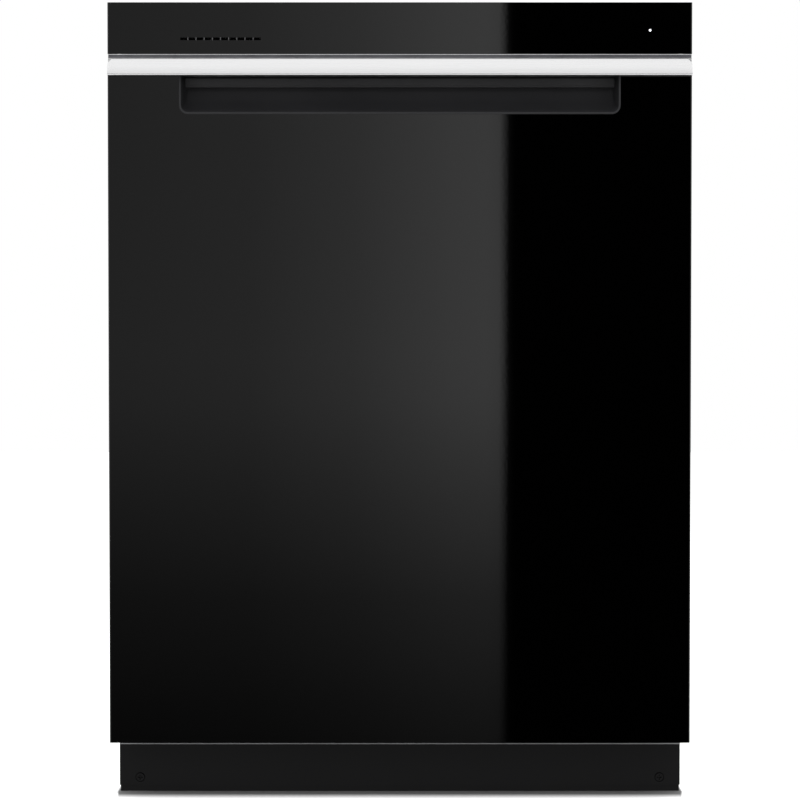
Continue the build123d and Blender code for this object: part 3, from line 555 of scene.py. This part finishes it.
def rack_wheels(node, body):
    """Moulded rollers: a crowned tread, a dished web and a raised hub. Small ones have a plain web."""
    y, z, outer, r = wheel_axes(node)
    bore, hub = 0.0031, 0.0065
    large = r > 0.012
    width = 0.010 if large else 0.012
    half_profile = [
        (0.0, bore), (0.0, hub), (0.0018, 0.0072), (0.0026, r * 0.55), (0.0026, r * 0.74),
        (0.0006, r * 0.80), (0.0, r * 0.92), (0.0010, r * 0.985), (width * 0.3, r),
    ]
    profile = half_profile + [(width - along, radius) for along, radius in reversed(half_profile)]
    if not large:
        profile = [(a, max(bore, radius)) for a, radius in profile if radius > r * 0.6 or radius < 0.004]
    bm = bmesh.new()
    for side in SIDES:
        add_ring(bm, profile, (side * (outer - width), y, z), (side, 0, 0), 48)
        for k in range(6 if large else 0):
            turn = Matrix.Rotation(math.radians(60 * k), 4, "X")
            before = set(bm.verts)
            spoke_x = (outer - width + 0.0008, outer - 0.0008)
            side_block(bm, side, spoke_x, (-0.0009, 0.0009), (0.006, r * 0.78), 0.3 * MM)
            for v in set(bm.verts) - before:
                v.co = turn @ v.co + Vector((0, y, z))
    piece(node + "_rollers", bm, "rack_plastic", body, [node])


def folding_tines():
    low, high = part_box("folding_tines")
    x, z = (low.x + high.x) / 2, low.z + 0.002
    bm = bmesh.new()
    add_tube(bm, [(x, low.y + 0.002, z), (x, high.y - 0.002, z)], PIVOT_WIRE, 10)
    add_tines(bm, x, z, high.z, TINE_Y)
    piece("folding_tine_row", bm, "rack_vinyl", "folding_tines", ["folding_tines"])


def upper_rack():
    low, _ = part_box("upper_rack")
    bm = bmesh.new()
    wire_basket(bm, UPPER_HALF, low.y, 0.037 - low.y, UPPER_FLOOR, UPPER_RIM, 15, 14)
    for x in (-0.11, 0.02, 0.14):
        tine_row(bm, x, UPPER_FLOOR, (-0.150, 0.215), 0.048, spread(-0.140, 0.205, 12), 0.008)
    piece("upper_rack_wires", bm, "rack_vinyl", "upper_rack", ["upper_rack"])
    bm = bmesh.new()
    for side in SIDES:
        for y in (0.010, 0.205):
            side_block(bm, side, (0.2415, 0.2655), (y, y + 0.030), (0.5525, 0.5715), 2 * MM)
    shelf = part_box("cup_shelf")[0]
    hinge_x, hinge_z = shelf.x + 0.002, shelf.z + 0.002
    clip_x0, clip_x1, gap = hinge_x - 0.0065, hinge_x + 0.004, 0.0021
    for y0 in (-0.196, -0.020):
        y1 = y0 + 0.006
        add_block(bm, (clip_x0, y0, hinge_z - 0.006), (clip_x1, y1, hinge_z - gap))
        add_block(bm, (clip_x0, y0, hinge_z + gap), (clip_x1, y1, hinge_z + 0.006))
        add_block(bm, (clip_x0, y0, hinge_z - 0.005), (hinge_x - gap, y1, hinge_z + 0.005), 0.6 * MM)
    piece("upper_rack_fittings", bm, "rack_plastic", "upper_rack")
    bm = bmesh.new()
    arm_y, pipe_z, pipe_r = 0.028, 0.469, 0.0069
    pipe = [(0, 0.2575, pipe_z), (0, arm_y, pipe_z), (0, arm_y, 0.4385)]
    add_tube(bm, rounded(pipe, 0.016, 8), pipe_r, 20)
    flange = [(0, 0.010), (0.0005, 0.0118), (0.0026, 0.0118), (0.003, 0.010)]
    add_lathe(bm, flange, (0, arm_y, 0.438), (0, 0, 1))
    collar = [(0, pipe_r), (0.0004, 0.0083), (0.006, 0.0083), (0.008, pipe_r)]
    add_lathe(bm, collar, (0, 0.244, pipe_z), (0, 1, 0))
    for y in (0.060, 0.200):
        add_block(bm, (-0.007, y, 0.4655), (0.007, y + 0.012, 0.4805), 2 * MM)
    piece("upper_feed_pipe", bm, "arm_plastic", "upper_rack")
    bm = bmesh.new()
    rack_grip(bm, low.y, UPPER_RIM)
    piece("upper_rack_grip", bm, "rail_steel", "upper_rack")


def cup_shelf():
    low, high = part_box("cup_shelf")
    x, z, top = low.x + 0.002, low.z + 0.002, high.z - WIRE
    front, back, thin = -0.186, -0.024, 1.2 * MM
    bm = bmesh.new()
    add_tube(bm, [(x, low.y + 0.0015, z), (x, high.y - 0.0015, z)], PIVOT_WIRE, 10)
    frame_loop = [(x, front, z), (x, front, top), (x, back, top), (x, back, z)]
    add_tube(bm, rounded(frame_loop, 0.014), WIRE)
    for y in spread(front + 0.018, back - 0.018, 8):
        add_tube(bm, [(x, y, z), (x, y, top)], thin)
    for height in (0.35, 0.7):
        level = z + height * (high.z - z)
        add_tube(bm, [(x, front, level), (x, back, level)], thin)
    piece("cup_shelf_wires", bm, "rack_vinyl", "cup_shelf", ["cup_shelf"])


def third_rack():
    low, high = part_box("third_rack")
    rail_top = high.z - 0.006
    bm = bmesh.new()
    wire_basket(bm, TRAY_HALF, low.y, high.y, TRAY_FLOOR, high.z, 23, 15, 1.3 * MM, 0.006)
    for x in (-0.085, 0.085):
        for z in (TRAY_FLOOR + 0.004, rail_top):
            add_tube(bm, [(x, low.y + 0.002, z), (x, high.y - 0.002, z)], 1.5 * MM)
        for y in spread(low.y + 0.02, high.y - 0.02, 10):
            add_tube(bm, [(x, y, TRAY_FLOOR + 0.003), (x, y, rail_top)], 1.2 * MM)
    piece("third_rack_wires", bm, "rack_vinyl", "third_rack", ["third_rack"])
    bm = bmesh.new()
    wall_x, ledge_x = (0.2495, 0.2545), (0.2535, 0.2778)
    bottom, top = 0.7385, 0.7495
    for side in SIDES:
        side_block(bm, side, wall_x, (low.y, high.y), (bottom, top), 0.7 * MM)
        side_block(bm, side, ledge_x, (low.y, high.y), (bottom, 0.7410), 0.7 * MM)
        for y in (low.y + 0.0005, high.y - 0.0085):
            side_block(bm, side, ledge_x, (y, y + 0.008), (bottom, top), 1.2 * MM)
    piece("third_rack_runners", bm, "rack_plastic", "third_rack")


# ---------------------------------------------------------------- wash parts
def add_spray_arm(bm, reach, centre, low, high, hub, bore, hub_low, hub_high, jets):
    """A crowned, tapering blade with raised jets and a bored hub."""
    cx, cy = centre
    count, sides = 48, 20
    half_width, narrowing, round_from, squareness = 0.0235, 0.42, 0.94, 0.75
    middle, thick = (low + high) / 2, (high - low) / 2

    def taper_at(t):
        return 1 - narrowing * abs(t)

    def squared(value):
        """A sine or cosine pushed outward, which turns an ellipse into a softened box."""
        return math.copysign(abs(value) ** squareness, value)

    sections = []
    for i in range(count + 1):
        t = -math.cos(math.pi * i / count)
        taper = taper_at(t)
        tip = math.sqrt(max(0.0, 1 - max(0.0, (abs(t) - round_from) / (1 - round_from)) ** 2))
        wide = half_width * taper * max(tip, 0.02)
        tall = thick * (0.55 + 0.45 * taper) * max(tip, 0.05)
        ring = []
        for k in range(sides):
            a = 2 * math.pi * k / sides
            y, z = squared(math.cos(a)) * wide, squared(math.sin(a)) * tall
            ring.append(bm.verts.new((cx + reach * t, cy + y, middle + z)))
        sections.append(ring)
    loft(bm, sections)
    profile = [(hub_low, bore), (hub_low, hub - 0.002), (hub_low + 0.002, hub), (hub_high - 0.004, hub),
               (hub_high - 0.001, hub - 0.003), (hub_high, hub - 0.007), (hub_high, bore)]
    add_ring(bm, profile, (cx, cy, 0), (0, 0, 1), 48)
    for t in jets:
        top = middle + thick * (0.55 + 0.45 * taper_at(t))
        place = (cx + reach * t, cy + 0.009 * taper_at(t) * (1 if t > 0 else -1), 0)
        nozzle = [(top - 0.003, 0.0018), (top - 0.003, 0.0046), (top, 0.0038), (top + 0.0011, 0.0032),
                  (top + 0.0011, 0.0018)]
        add_ring(bm, nozzle, place, (0, 0, 1), 20)


def spray_arms():
    jets = (-0.9, -0.72, -0.5, -0.28, 0.22, 0.42, 0.62, 0.8, 0.92)
    for label, bottom, top, hub, bore, places in (
        ("lower", 0.167, 0.179, 0.026, 0.00905, jets),
        ("middle", 0.446, 0.4565, 0.020, 0.00705, jets[1:-1]),
    ):
        node = label + "_spray_arm"
        low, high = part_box(node)
        bm = bmesh.new()
        add_spray_arm(bm, high.x, (0, (low.y + high.y) / 2), bottom, top, hub, bore, low.z, high.z, places)
        piece(label + "_arm_shell", bm, "arm_plastic", node, [node], 60)


def even_steps(path, step):
    """The same path, cut into steps of even length."""
    points, left = [path[0]], step
    for start, end in zip(path, path[1:]):
        length = (end - start).length
        done = left
        while done <= length:
            points.append(start.lerp(end, done / length))
            done += step
        left = done - length
    return points


def hoses():
    """The corrugated drain hose with its cuff, and the braided fill hose with its ferrules and port."""
    low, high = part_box("drain_hose")
    centre_y = high.y - 0.011
    up, down, top = low.x + 0.009, high.x - 0.011, high.z - 0.009
    pump_z, cuff_z, bend, step, steps_per_rib = 0.096, 0.126, 0.038, 0.0011, 4
    corners = [(up, low.y, pump_z), (up, centre_y, pump_z), (up, centre_y, top), (down, centre_y, top),
               (down, centre_y, cuff_z)]
    path = even_steps(rounded(corners, bend, 40), step)
    ribs = [0.0079 + 0.0010 * math.sin(2 * math.pi * i / steps_per_rib) for i in range(len(path))]
    bm = bmesh.new()
    add_tube(bm, path, ribs, 16)
    cuff = [(0.0, 0.0080), (0.0, 0.0104), (0.0015, 0.0109), (0.024, 0.0109), (0.027, 0.0100),
            (0.0315, 0.0096), (0.0315, 0.0080)]
    add_ring(bm, cuff, (down, centre_y, low.z), (0, 0, 1), 32)
    piece("drain_hose_corrugated", bm, "seal_rubber", "cabinet", ["drain_hose"], 70)
    low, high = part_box("fill_hose")
    bm = bmesh.new()
    x, valve_y, valve_z, port_z, hose_r = -0.165, 0.235, 0.084, 0.404, 0.0063
    corners = [(low.x, valve_y, valve_z), (x, valve_y, valve_z), (x, centre_y, valve_z),
               (x, centre_y, port_z)]
    add_tube(bm, even_steps(rounded(corners, 0.028, 24), 0.0025), hose_r, 16)
    ferrule = [(0, hose_r), (0.001, 0.0078), (0.014, 0.0078), (0.015, hose_r)]
    for z in (port_z - 0.020, 0.110):
        add_lathe(bm, ferrule, (x, centre_y, z), (0, 0, 1))
    piece("fill_hose_braided", bm, "braided_hose", "cabinet", ["fill_hose"], 50)
    bm = bmesh.new()
    add_block(bm, (x - 0.011, 0.2902, port_z), (x + 0.011, high.y, high.z), 2 * MM)
    piece("fill_port", bm, "valve_plastic", "cabinet")


# ---------------------------------------------------------------- counterbalance
def counterbalance():
    """Coil springs, cables that run to the hinge drums, and their turns wound on the drums."""
    low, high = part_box("door_springs")
    rear, front = high.y, low.y
    z = (low.z + high.z) / 2
    line_x, drum_r, cable_r = 0.2935, 0.022, 1.1 * MM
    turns, per_turn, coil, wire = 58, 14, 0.0055, 0.9 * MM
    for side, label in zip(SIDES, ("left", "right")):
        x = side * line_x
        start, end = front + 0.008, rear - 0.010
        path = [Vector((x, front, z)), Vector((x, front + 0.004, z))]
        for k in range(turns * per_turn + 1):
            a = 2 * math.pi * k / per_turn
            y = start + (end - start) * k / (turns * per_turn)
            path.append(Vector((x + coil * math.sin(a), y, z + coil * math.cos(a))))
        path += [Vector((x, rear - 0.005, z)), Vector((x, rear, z))]
        bm = bmesh.new()
        add_tube(bm, path, wire, 6)
        nodes = ["door_springs"] if side > 0 else []
        spring = piece("coil_spring_" + label, bm, "spring_steel", None, nodes, 80)
        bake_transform(spring)
    cable_low, cable_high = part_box("spring_cables")
    hook_end, drum_y = cable_high.y, cable_low.y
    for side, label in zip(SIDES, ("left", "right")):
        x = side * line_x
        bm = bmesh.new()
        add_tube(bm, [(x, y, z) for y in spread(drum_y, hook_end, 24)], cable_r, 8)
        nodes = ["spring_cables"] if side > 0 else []
        cable = piece("cable_" + label, bm, "spring_steel", "cabinet", nodes)
        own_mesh(cable)
    bm = bmesh.new()
    for side in SIDES:
        turn = []
        for k in range(48):
            a = 2 * math.pi * k / 48
            turn.append((side * line_x, drum_y + drum_r * math.sin(a), z - drum_r + drum_r * math.cos(a)))
        add_tube(bm, turn, cable_r, 8, closed=True)
    piece("cable_turns", bm, "spring_steel", "door")


# ---------------------------------------------------------------- sound blanket
def sound_blanket():
    """A quilted felt wrap over the sides and top, bound at its edges."""
    low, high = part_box("sound_blanket")
    thick, step, rows = 0.0094, 0.008, 66
    stitch_round, stitch_deep, plumpness = 0.118, 0.129, 0.35
    half, top = high.x - thick, high.z - thick
    corners = [(-half, 0, low.z), (-half, 0, top), (half, 0, top), (half, 0, low.z)]
    line = even_steps(rounded(corners, 0.022, 10), step)
    count = len(line)
    outer, inner = [], []
    bm = bmesh.new()
    for i, point in enumerate(line):
        along = line[min(i + 1, count - 1)] - line[max(i - 1, 0)]
        normal = Vector((-along.z, 0, along.x)).normalized()
        swell_round = abs(math.sin(math.pi * i * step / stitch_round)) ** plumpness
        outer.append([])
        inner.append([])
        for j in range(rows + 1):
            y = low.y + (high.y - low.y) * j / rows
            quilt = swell_round * abs(math.sin(math.pi * (y - low.y) / stitch_deep)) ** plumpness
            place = Vector((point.x, y, point.z))
            ripple = noise.noise(place * 16) * 0.0011
            edge = min(i, count - 1 - i, j, rows - j)
            height = thick * (0.5 + 0.46 * quilt) + ripple * min(1, edge / 4)
            height = min(thick, height) * min(1.0, 0.45 + 0.2 * edge)
            outer[-1].append(bm.verts.new(place + normal * height))
            inner[-1].append(bm.verts.new(place + normal * 0.0002))
    for grid in (outer, inner):
        for i in range(count - 1):
            for j in range(rows):
                bm.faces.new((grid[i][j], grid[i + 1][j], grid[i + 1][j + 1], grid[i][j + 1]))
    border = [(i, 0) for i in range(count)] + [(count - 1, j) for j in range(1, rows + 1)]
    border += [(i, rows) for i in range(count - 2, -1, -1)] + [(0, j) for j in range(rows - 1, 0, -1)]
    bridge(bm, [outer[i][j] for i, j in border], [inner[i][j] for i, j in border])
    blanket = piece("sound_blanket_quilt", bm, "felt", "cabinet", ["sound_blanket"], 80)


# ---------------------------------------------------------------- door details
DOOR_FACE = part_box("door_panel")[0].y
TRIM_BACK = -0.2995
# back of the dark strip that paints shade into the trim's groove
SHADE_STRIP_BACK = -0.3024


def trim_outline(low, high, cut):
    """Section of the trim: a face that rolls back to a groove under a fine lip. cut lowers the face's top."""
    base, crown = low.z + 0.0014, high.z - 0.0058 - cut
    groove_y, lip_y, top = low.y + 0.0080, low.y + 0.0060, high.z - 0.0006
    points = [(TRIM_BACK, low.z), (low.y + 0.0022, low.z), (low.y + 0.0004, low.z + 0.0001)]
    points += [(low.y, low.z + 0.0004), (low.y + 0.0006, base)]
    foot = base + 0.0002
    for t in spread(0, 1, 20):
        depth = 0.0003 + 0.0016 * t + 0.0023 * t ** 3
        points.append((low.y + depth, foot + (crown - foot) * t))
    points += [(low.y + 0.0054, crown + 0.0005), (groove_y, crown + 0.0011), (groove_y, high.z - 0.0013)]
    points += [(lip_y + 0.0006, top - 0.0008), (lip_y, top - 0.0005), (lip_y + 0.0002, top - 0.0001)]
    return points + [(lip_y + 0.0008, top), (TRIM_BACK, top)]


def handle_trim():
    low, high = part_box("handle_trim")
    half, corner = high.x - 0.0006, 0.0042
    bm = bmesh.new()
    rings = []
    for x, cut in ((-half, corner), (-half + corner, 0), (half - corner, 0), (half, corner)):
        rings.append([bm.verts.new((x, y, z)) for y, z in trim_outline(low, high, cut)])
    loft(bm, rings)
    piece("trim_extrusion", bm, "trim_steel", "door", ["handle_trim"], 24)
    # painted shade: a dark rubber strip in the trim's groove stands in for the shade and dark reflection
    # there
    bm = bmesh.new()
    bottom, top, front = high.z - 0.0041, high.z - 0.0014, SHADE_STRIP_BACK - 0.0016
    outline = [(SHADE_STRIP_BACK, bottom), (front, bottom), (front + 0.0004, top), (SHADE_STRIP_BACK, top)]
    add_strip(bm, outline, -half + 0.0005, half - 0.0005)
    piece("trim_groove_shade_strip", bm, "seal_rubber", "door")


def pocket_ring(half, floor, top, corner, y, steps=8):
    """The open outline of the pocket at one depth, from its upper left to its upper right."""
    corners = [(-half, y, top), (-half, y, floor), (half, y, floor), (half, y, top)]
    return rounded(corners, corner, steps)


def finger_pocket():
    """A moulded scoop: a fine proud rim, drafted walls and a floor that sweeps up behind the trim."""
    half, floor = 0.2284, 0.7201
    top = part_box("handle_pocket")[1].z - 0.003
    rim_corner, least_corner = 0.0087, 0.002
    stations = [  # inward from the sides, up from the floor, depth behind the door's face
        (0.0000, 0.0000, 0.0015), (0.0000, 0.0000, -0.0001), (0.0002, 0.0002, -0.0003),
        (0.0006, 0.0006, -0.0003), (0.0009, 0.0010, -0.0001), (0.0013, 0.0018, 0.0020),
        (0.0017, 0.0034, 0.0080), (0.0023, 0.0058, 0.0140), (0.0032, 0.0100, 0.0200),
        (0.0043, 0.0160, 0.0250), (0.0056, 0.0240, 0.0282), (0.0070, 0.0330, 0.0298),
    ]
    bm = bmesh.new()
    rows = []
    for inward, rise, depth in stations:
        corner = max(rim_corner - inward, least_corner)
        ring = pocket_ring(half - inward, floor + rise, top, corner, DOOR_FACE + depth)
        rows.append([bm.verts.new(p) for p in ring])
    join_rows(bm, rows)
    bm.faces.new(rows[-1])
    shell = piece("pocket_scoop", bm, "pocket_black", "door", ["handle_pocket"], 35)
    thicken = shell.modifiers.new("wall", "SOLIDIFY")
    thicken.thickness = 1.2 * MM
    thicken.offset = 0.0
    # a grip rib across the pocket; its paler black is painted light that lifts a band the pocket's shade
    # leaves dark
    bm = bmesh.new()
    rib_low = (-0.2255, DOOR_FACE + 0.018, top - 0.0250)
    rib_high = (0.2255, DOOR_FACE + 0.026, top - 0.0150)
    add_block(bm, rib_low, rib_high, 1.5 * MM)
    piece("pocket_grip_rib_painted_light", bm, "grip_black_painted_light", "door")


def console_marks():
    """Small plain inlays on the keys: a ring, three bars and a triangle, with a pip beside each key."""
    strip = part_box("control_strip")
    y, z = (strip[0].y + strip[1].y) / 2, strip[1].z
    bm = bmesh.new()
    for node in ("key_power", "key_cycle", "key_start"):
        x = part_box(node)[1].x + 0.010
        add_lathe(bm, [(-0.0002, 0.0008), (0.00006, 0.0008)], (x, y, z), (0, 0, 1), 16)
    piece("key_pips", bm, "lamp", "door")
    wall = [(0.0, 0.0022), (0.0, 0.0029), (0.00012, 0.0029), (0.00012, 0.0022)]
    for node, sides in (("key_power", 32), ("key_start", 3)):
        low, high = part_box(node)
        bm = bmesh.new()
        add_ring(bm, wall, ((low.x + high.x) / 2, y, high.z - 0.00004), (0, 0, 1), sides)
        piece(node + "_mark", bm, "valve_plastic", node)
    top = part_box("key_cycle")[1].z
    half_long, half_wide = 0.003, 0.0004
    bm = bmesh.new()
    for step in (-0.0022, 0, 0.0022):
        bar_low = (-half_long, y + step - half_wide, top - 0.0001)
        bar_high = (half_long, y + step + half_wide, top + 0.00008)
        add_block(bm, bar_low, bar_high, 0.05 * MM)
    piece("key_cycle_mark", bm, "valve_plastic", "key_cycle")


def vent_rib_highlights():
    """Fine ribs between the ten vent slots of the console; their pale grey is a painted highlight on the
    gloss black bars between the slots.
    """
    first_x, pitch, z = -0.21952, 0.00846, 0.7973
    half_wide, half_tall = 0.0004, 0.0014
    bm = bmesh.new()
    for i in range(9):
        x = first_x + pitch * i
        rib_low = (x - half_wide, DOOR_FACE - 0.00015, z - half_tall)
        rib_high = (x + half_wide, DOOR_FACE + 0.0005, z + half_tall)
        add_block(bm, rib_low, rib_high, 0.1 * MM)
    ribs = piece("vent_rib_highlights", bm, "vent_highlight_grey", "door")


def kick_bead_painted_highlight():
    """The rolled edge along the top of the access panel, just in sight under the door; its pale grey is a
    painted highlight.
    """
    low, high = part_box("access_panel")
    y, z, inset = low.y + 0.0002, high.z - 0.0083, 0.001
    bm = bmesh.new()
    add_tube(bm, [(low.x + inset, y, z), (high.x - inset, y, z)], 0.7 * MM, 10)
    pale_bead_highlight = piece("kick_bead_painted_highlight", bm, "pale_bead_highlight", "cabinet")


def add_rib(bm, start, end, out, wide, tall):
    """A pressed rib: a low crown that fades out at both ends."""
    start, end, out = Vector(start), Vector(end), Vector(out)
    side = (end - start).cross(out).normalized()
    fade_end, half_count = 0.036, 7
    sections = []
    for t in (0, 0.006, 0.014, 0.024, fade_end, 1 - fade_end, 0.976, 0.986, 0.994, 1):
        fade = math.sin(math.pi / 2 * min(1, min(t, 1 - t) / fade_end))
        grow = max(fade, 0.05)
        ring = []
        for k in range(2 * half_count + 1):
            u = k / half_count - 1
            lift = 0.5 + 0.5 * math.cos(math.pi * u)
            ring.append(bm.verts.new(start.lerp(end, t) + side * u * wide * grow + out * tall * lift * fade))
        sections.append(ring)
    join_rows(bm, sections)


def liner_embossing():
    """Pressed ribs on the door's inner panel and the tub's walls, which stiffen the sheet."""
    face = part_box("door_liner")[1].y + 0.00005
    bm = bmesh.new()
    for z in (0.245, 0.310, 0.375, 0.625, 0.690):
        add_rib(bm, (-0.215, face, z), (0.215, face, z), (0, 1, 0), 0.011, 0.0014)
    piece("liner_ribs", bm, "liner_steel", "door")
    bm = bmesh.new()
    wall, rear = 0.28295, 0.28795
    for side in SIDES:
        for z in (0.235, 0.365, 0.420, 0.640, 0.690):
            add_rib(bm, (side * wall, -0.200, z), (side * wall, 0.255, z), (-side, 0, 0), 0.010, 0.0014)
    for x in (-0.210, -0.130, 0.130, 0.210):
        add_rib(bm, (x, rear, 0.235), (x, rear, 0.760), (0, -1, 0), 0.014, 0.0022)
    piece("tub_ribs", bm, "tub_steel", "cabinet")


lower_rack()
rack_wheels("lower_wheels_front", "lower_wheels_front")
rack_wheels("lower_wheels_rear", "lower_wheels_rear")
rack_wheels("rail_rollers", "rail_rollers")
folding_tines()
upper_rack()
cup_shelf()
third_rack()
spray_arms()
hoses()
counterbalance()
sound_blanket()
handle_trim()
finger_pocket()
console_marks()
vent_rib_highlights()
kick_bead_painted_highlight()
liner_embossing()


# ---------------------------------------------------------------- camera, light and floor
CAMERA_AT = Vector((0.0002, -2.304, 0.470))
CAMERA_PITCH = 1.341  # degrees below level
CAMERA_LENS = 86.55  # millimetres, on a sensor 36 mm wide


def add_camera():
    """The camera of the main view, in front of the door and tilted slightly down."""
    data = bpy.data.cameras.new("camera")
    data.lens = CAMERA_LENS
    data.sensor_width = 36.0
    camera = bpy.data.objects.new("camera", data)
    camera.location = CAMERA_AT
    camera.rotation_euler = (math.radians(90 - CAMERA_PITCH), 0, 0)
    bpy.context.scene.collection.objects.link(camera)
    bpy.context.scene.camera = camera


def area_light(name, place, aim, size, power):
    """A soft rectangular light that doesn't show up as itself in glossy surfaces."""
    data = bpy.data.lights.new(name, "AREA")
    data.shape = "RECTANGLE"
    data.size, data.size_y = size
    data.energy = power
    data.spread = math.pi
    light = bpy.data.objects.new(name, data)
    light.location = place
    direction = Vector(aim) - Vector(place)
    light.rotation_euler = direction.to_track_quat("-Z", "Y").to_euler()
    light.visible_glossy = False
    bpy.context.scene.collection.objects.link(light)


def math_node(tree, operation, a, b=None, clamp=False):
    """Adds a Math node. Each input is a number or another node's output."""
    node = tree.nodes.new("ShaderNodeMath")
    node.operation = operation
    node.use_clamp = clamp
    for socket, value in zip(node.inputs, (a, b)):
        if value is None:
            continue
        if isinstance(value, (int, float)):
            socket.default_value = value
        else:
            tree.links.new(value, socket)
    return node.outputs[0]


def grey_ramp(tree, source, stops):
    """A grey ramp over 0..1; stops are (position, level) pairs."""
    node = tree.nodes.new("ShaderNodeValToRGB")
    ramp = node.color_ramp
    while len(ramp.elements) < len(stops):
        ramp.elements.new(0.5)
    for element, (position, level) in zip(ramp.elements, stops):
        element.position = position
        element.color = (level, level, level, 1.0)
    tree.links.new(source, node.inputs["Fac"])
    return node.outputs["Color"]


# Levels that glossy surfaces see, as (place, level). The card's run along X and Z, the studio's up Z.
CARD_HALF = 0.30  # slope that the card covers, each way from straight ahead
CARD_TONE = [(0.0, 0.34), (0.25, 0.38), (0.37, 0.45), (0.46, 0.63), (0.545, 0.92), (0.575, 0.98),
             (0.5865, 0.90), (0.5935, 0.05), (0.598, 0.0), (1.0, 0.0)]
CARD_FALL = [(0.15, 0.13), (0.20, 0.19), (0.29, 0.34), (0.375, 0.62), (0.46, 0.94), (0.5, 1.0)]
STUDIO_TONE = [(0.0, 0.90), (0.40, 0.80), (0.52, 0.92), (0.62, 0.97), (0.75, 1.0), (1.0, 1.0)]


def build_world():
    """White studio. Glossy surfaces see a graded reflector card straight ahead, with a black flag."""
    world = bpy.data.worlds.new("studio")
    bpy.context.scene.world = world
    world.use_nodes = True
    tree = world.node_tree
    tree.nodes.clear()
    coord = tree.nodes.new("ShaderNodeTexCoord")
    split = tree.nodes.new("ShaderNodeSeparateXYZ")
    tree.links.new(coord.outputs["Generated"], split.inputs[0])
    ahead = math_node(tree, "MAXIMUM", math_node(tree, "MULTIPLY", split.outputs["Y"], -1.0), 1e-4)
    slope_x = math_node(tree, "DIVIDE", split.outputs["X"], ahead)
    slope_z = math_node(tree, "DIVIDE", split.outputs["Z"], ahead)

    def across(slope):
        scaled = math_node(tree, "DIVIDE", slope, 2 * CARD_HALF)
        return math_node(tree, "ADD", scaled, 0.5, clamp=True)

    card = math_node(
        tree, "MULTIPLY",
        grey_ramp(tree, across(slope_x), CARD_TONE),
        grey_ramp(tree, across(slope_z), CARD_FALL),
    )

    def outside(slope, inner, outer):
        """0 within the card, 1 beyond it."""
        size = math_node(tree, "ABSOLUTE", slope)
        over = math_node(tree, "SUBTRACT", size, inner)
        return math_node(tree, "DIVIDE", over, outer - inner, clamp=True)

    beyond = math_node(tree, "MAXIMUM", outside(slope_x, 0.2, 0.5), outside(slope_z, 0.21, 0.4))
    height = math_node(tree, "ADD", math_node(tree, "MULTIPLY", split.outputs["Z"], 0.5), 0.5, clamp=True)
    room = math_node(tree, "MULTIPLY", beyond, grey_ramp(tree, height, STUDIO_TONE))
    inside = math_node(tree, "SUBTRACT", 1.0, beyond)
    glossy_level = math_node(tree, "ADD", math_node(tree, "MULTIPLY", card, inside), room)

    path = tree.nodes.new("ShaderNodeLightPath")
    level = math_node(
        tree, "ADD",
        math_node(tree, "MULTIPLY", path.outputs["Is Glossy Ray"], glossy_level),
        math_node(tree, "SUBTRACT", 1.0, path.outputs["Is Glossy Ray"]),
    )
    background = tree.nodes.new("ShaderNodeBackground")
    tree.links.new(level, background.inputs["Color"])
    output = tree.nodes.new("ShaderNodeOutputWorld")
    tree.links.new(background.outputs[0], output.inputs["Surface"])


FLOOR_TONE, SHADOW_TONE = (0.95, 0.95, 0.95), (0.22, 0.22, 0.22)
FLOOR_GLOW = 0.55
SHADOW_CORE, SHADOW_REACH = 0.010, 0.034  # distance from the toe panel where the shadow is full, and gone
SIDE_FADE = 8.0  # how much faster it fades to the sides than ahead
FRONT_TAPER = 0.2  # how much it narrows with distance ahead


def build_floor():
    """A pale floor that glows a little, apart from a tight contact shadow round the toe panel."""
    bpy.ops.mesh.primitive_plane_add(size=14, location=(0, 0, -0.5 * MM))
    floor = bpy.context.object
    floor.name = "floor"
    s = Shader("floor", FLOOR_TONE, 0.9, specular=0.0)
    s.gloss(s.texture("Noise", 3), 0.85, 0.95)
    toe_low, toe_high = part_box("access_panel")
    split = s.nodes.new("ShaderNodeSeparateXYZ")
    s.link(s.coord.outputs["Object"], split.inputs[0])
    ahead = math_node(s.tree, "SUBTRACT", toe_low.y, split.outputs["Y"])
    behind = math_node(s.tree, "SUBTRACT", split.outputs["Y"], CAD_BOX[1].y - 0.02)
    taper = math_node(s.tree, "MULTIPLY", math_node(s.tree, "MAXIMUM", ahead, 0.0), FRONT_TAPER)
    half = math_node(s.tree, "SUBTRACT", toe_high.x, taper)
    aside = math_node(s.tree, "SUBTRACT", math_node(s.tree, "ABSOLUTE", split.outputs["X"]), half)
    along = math_node(s.tree, "MAXIMUM", ahead, behind)
    away = math_node(s.tree, "MAXIMUM", math_node(s.tree, "MULTIPLY", aside, SIDE_FADE), along)
    glow = s.spread(away, 0.0, FLOOR_GLOW, SHADOW_CORE, SHADOW_REACH)
    s.set("Emission Color", (1.0, 1.0, 1.0, 1.0))
    s.link(glow, s.bsdf.inputs["Emission Strength"])
    s.tint(away, SHADOW_TONE, FLOOR_TONE, SHADOW_CORE, SHADOW_REACH)
    floor.data.materials.append(s.material)
    floor.visible_glossy = False


add_camera()
build_world()
build_floor()
area_light("overhead", place=(0, -1.6, 2.7), aim=(0, -0.3, 0.3), size=(3.2, 1.6), power=40)
area_light("front_fill", place=(0, -3.6, 2.2), aim=(0, -0.3, 0.2), size=(3.0, 1.2), power=45)
scene = bpy.context.scene
scene.view_settings.view_transform = "Standard"
scene.view_settings.look = "None"
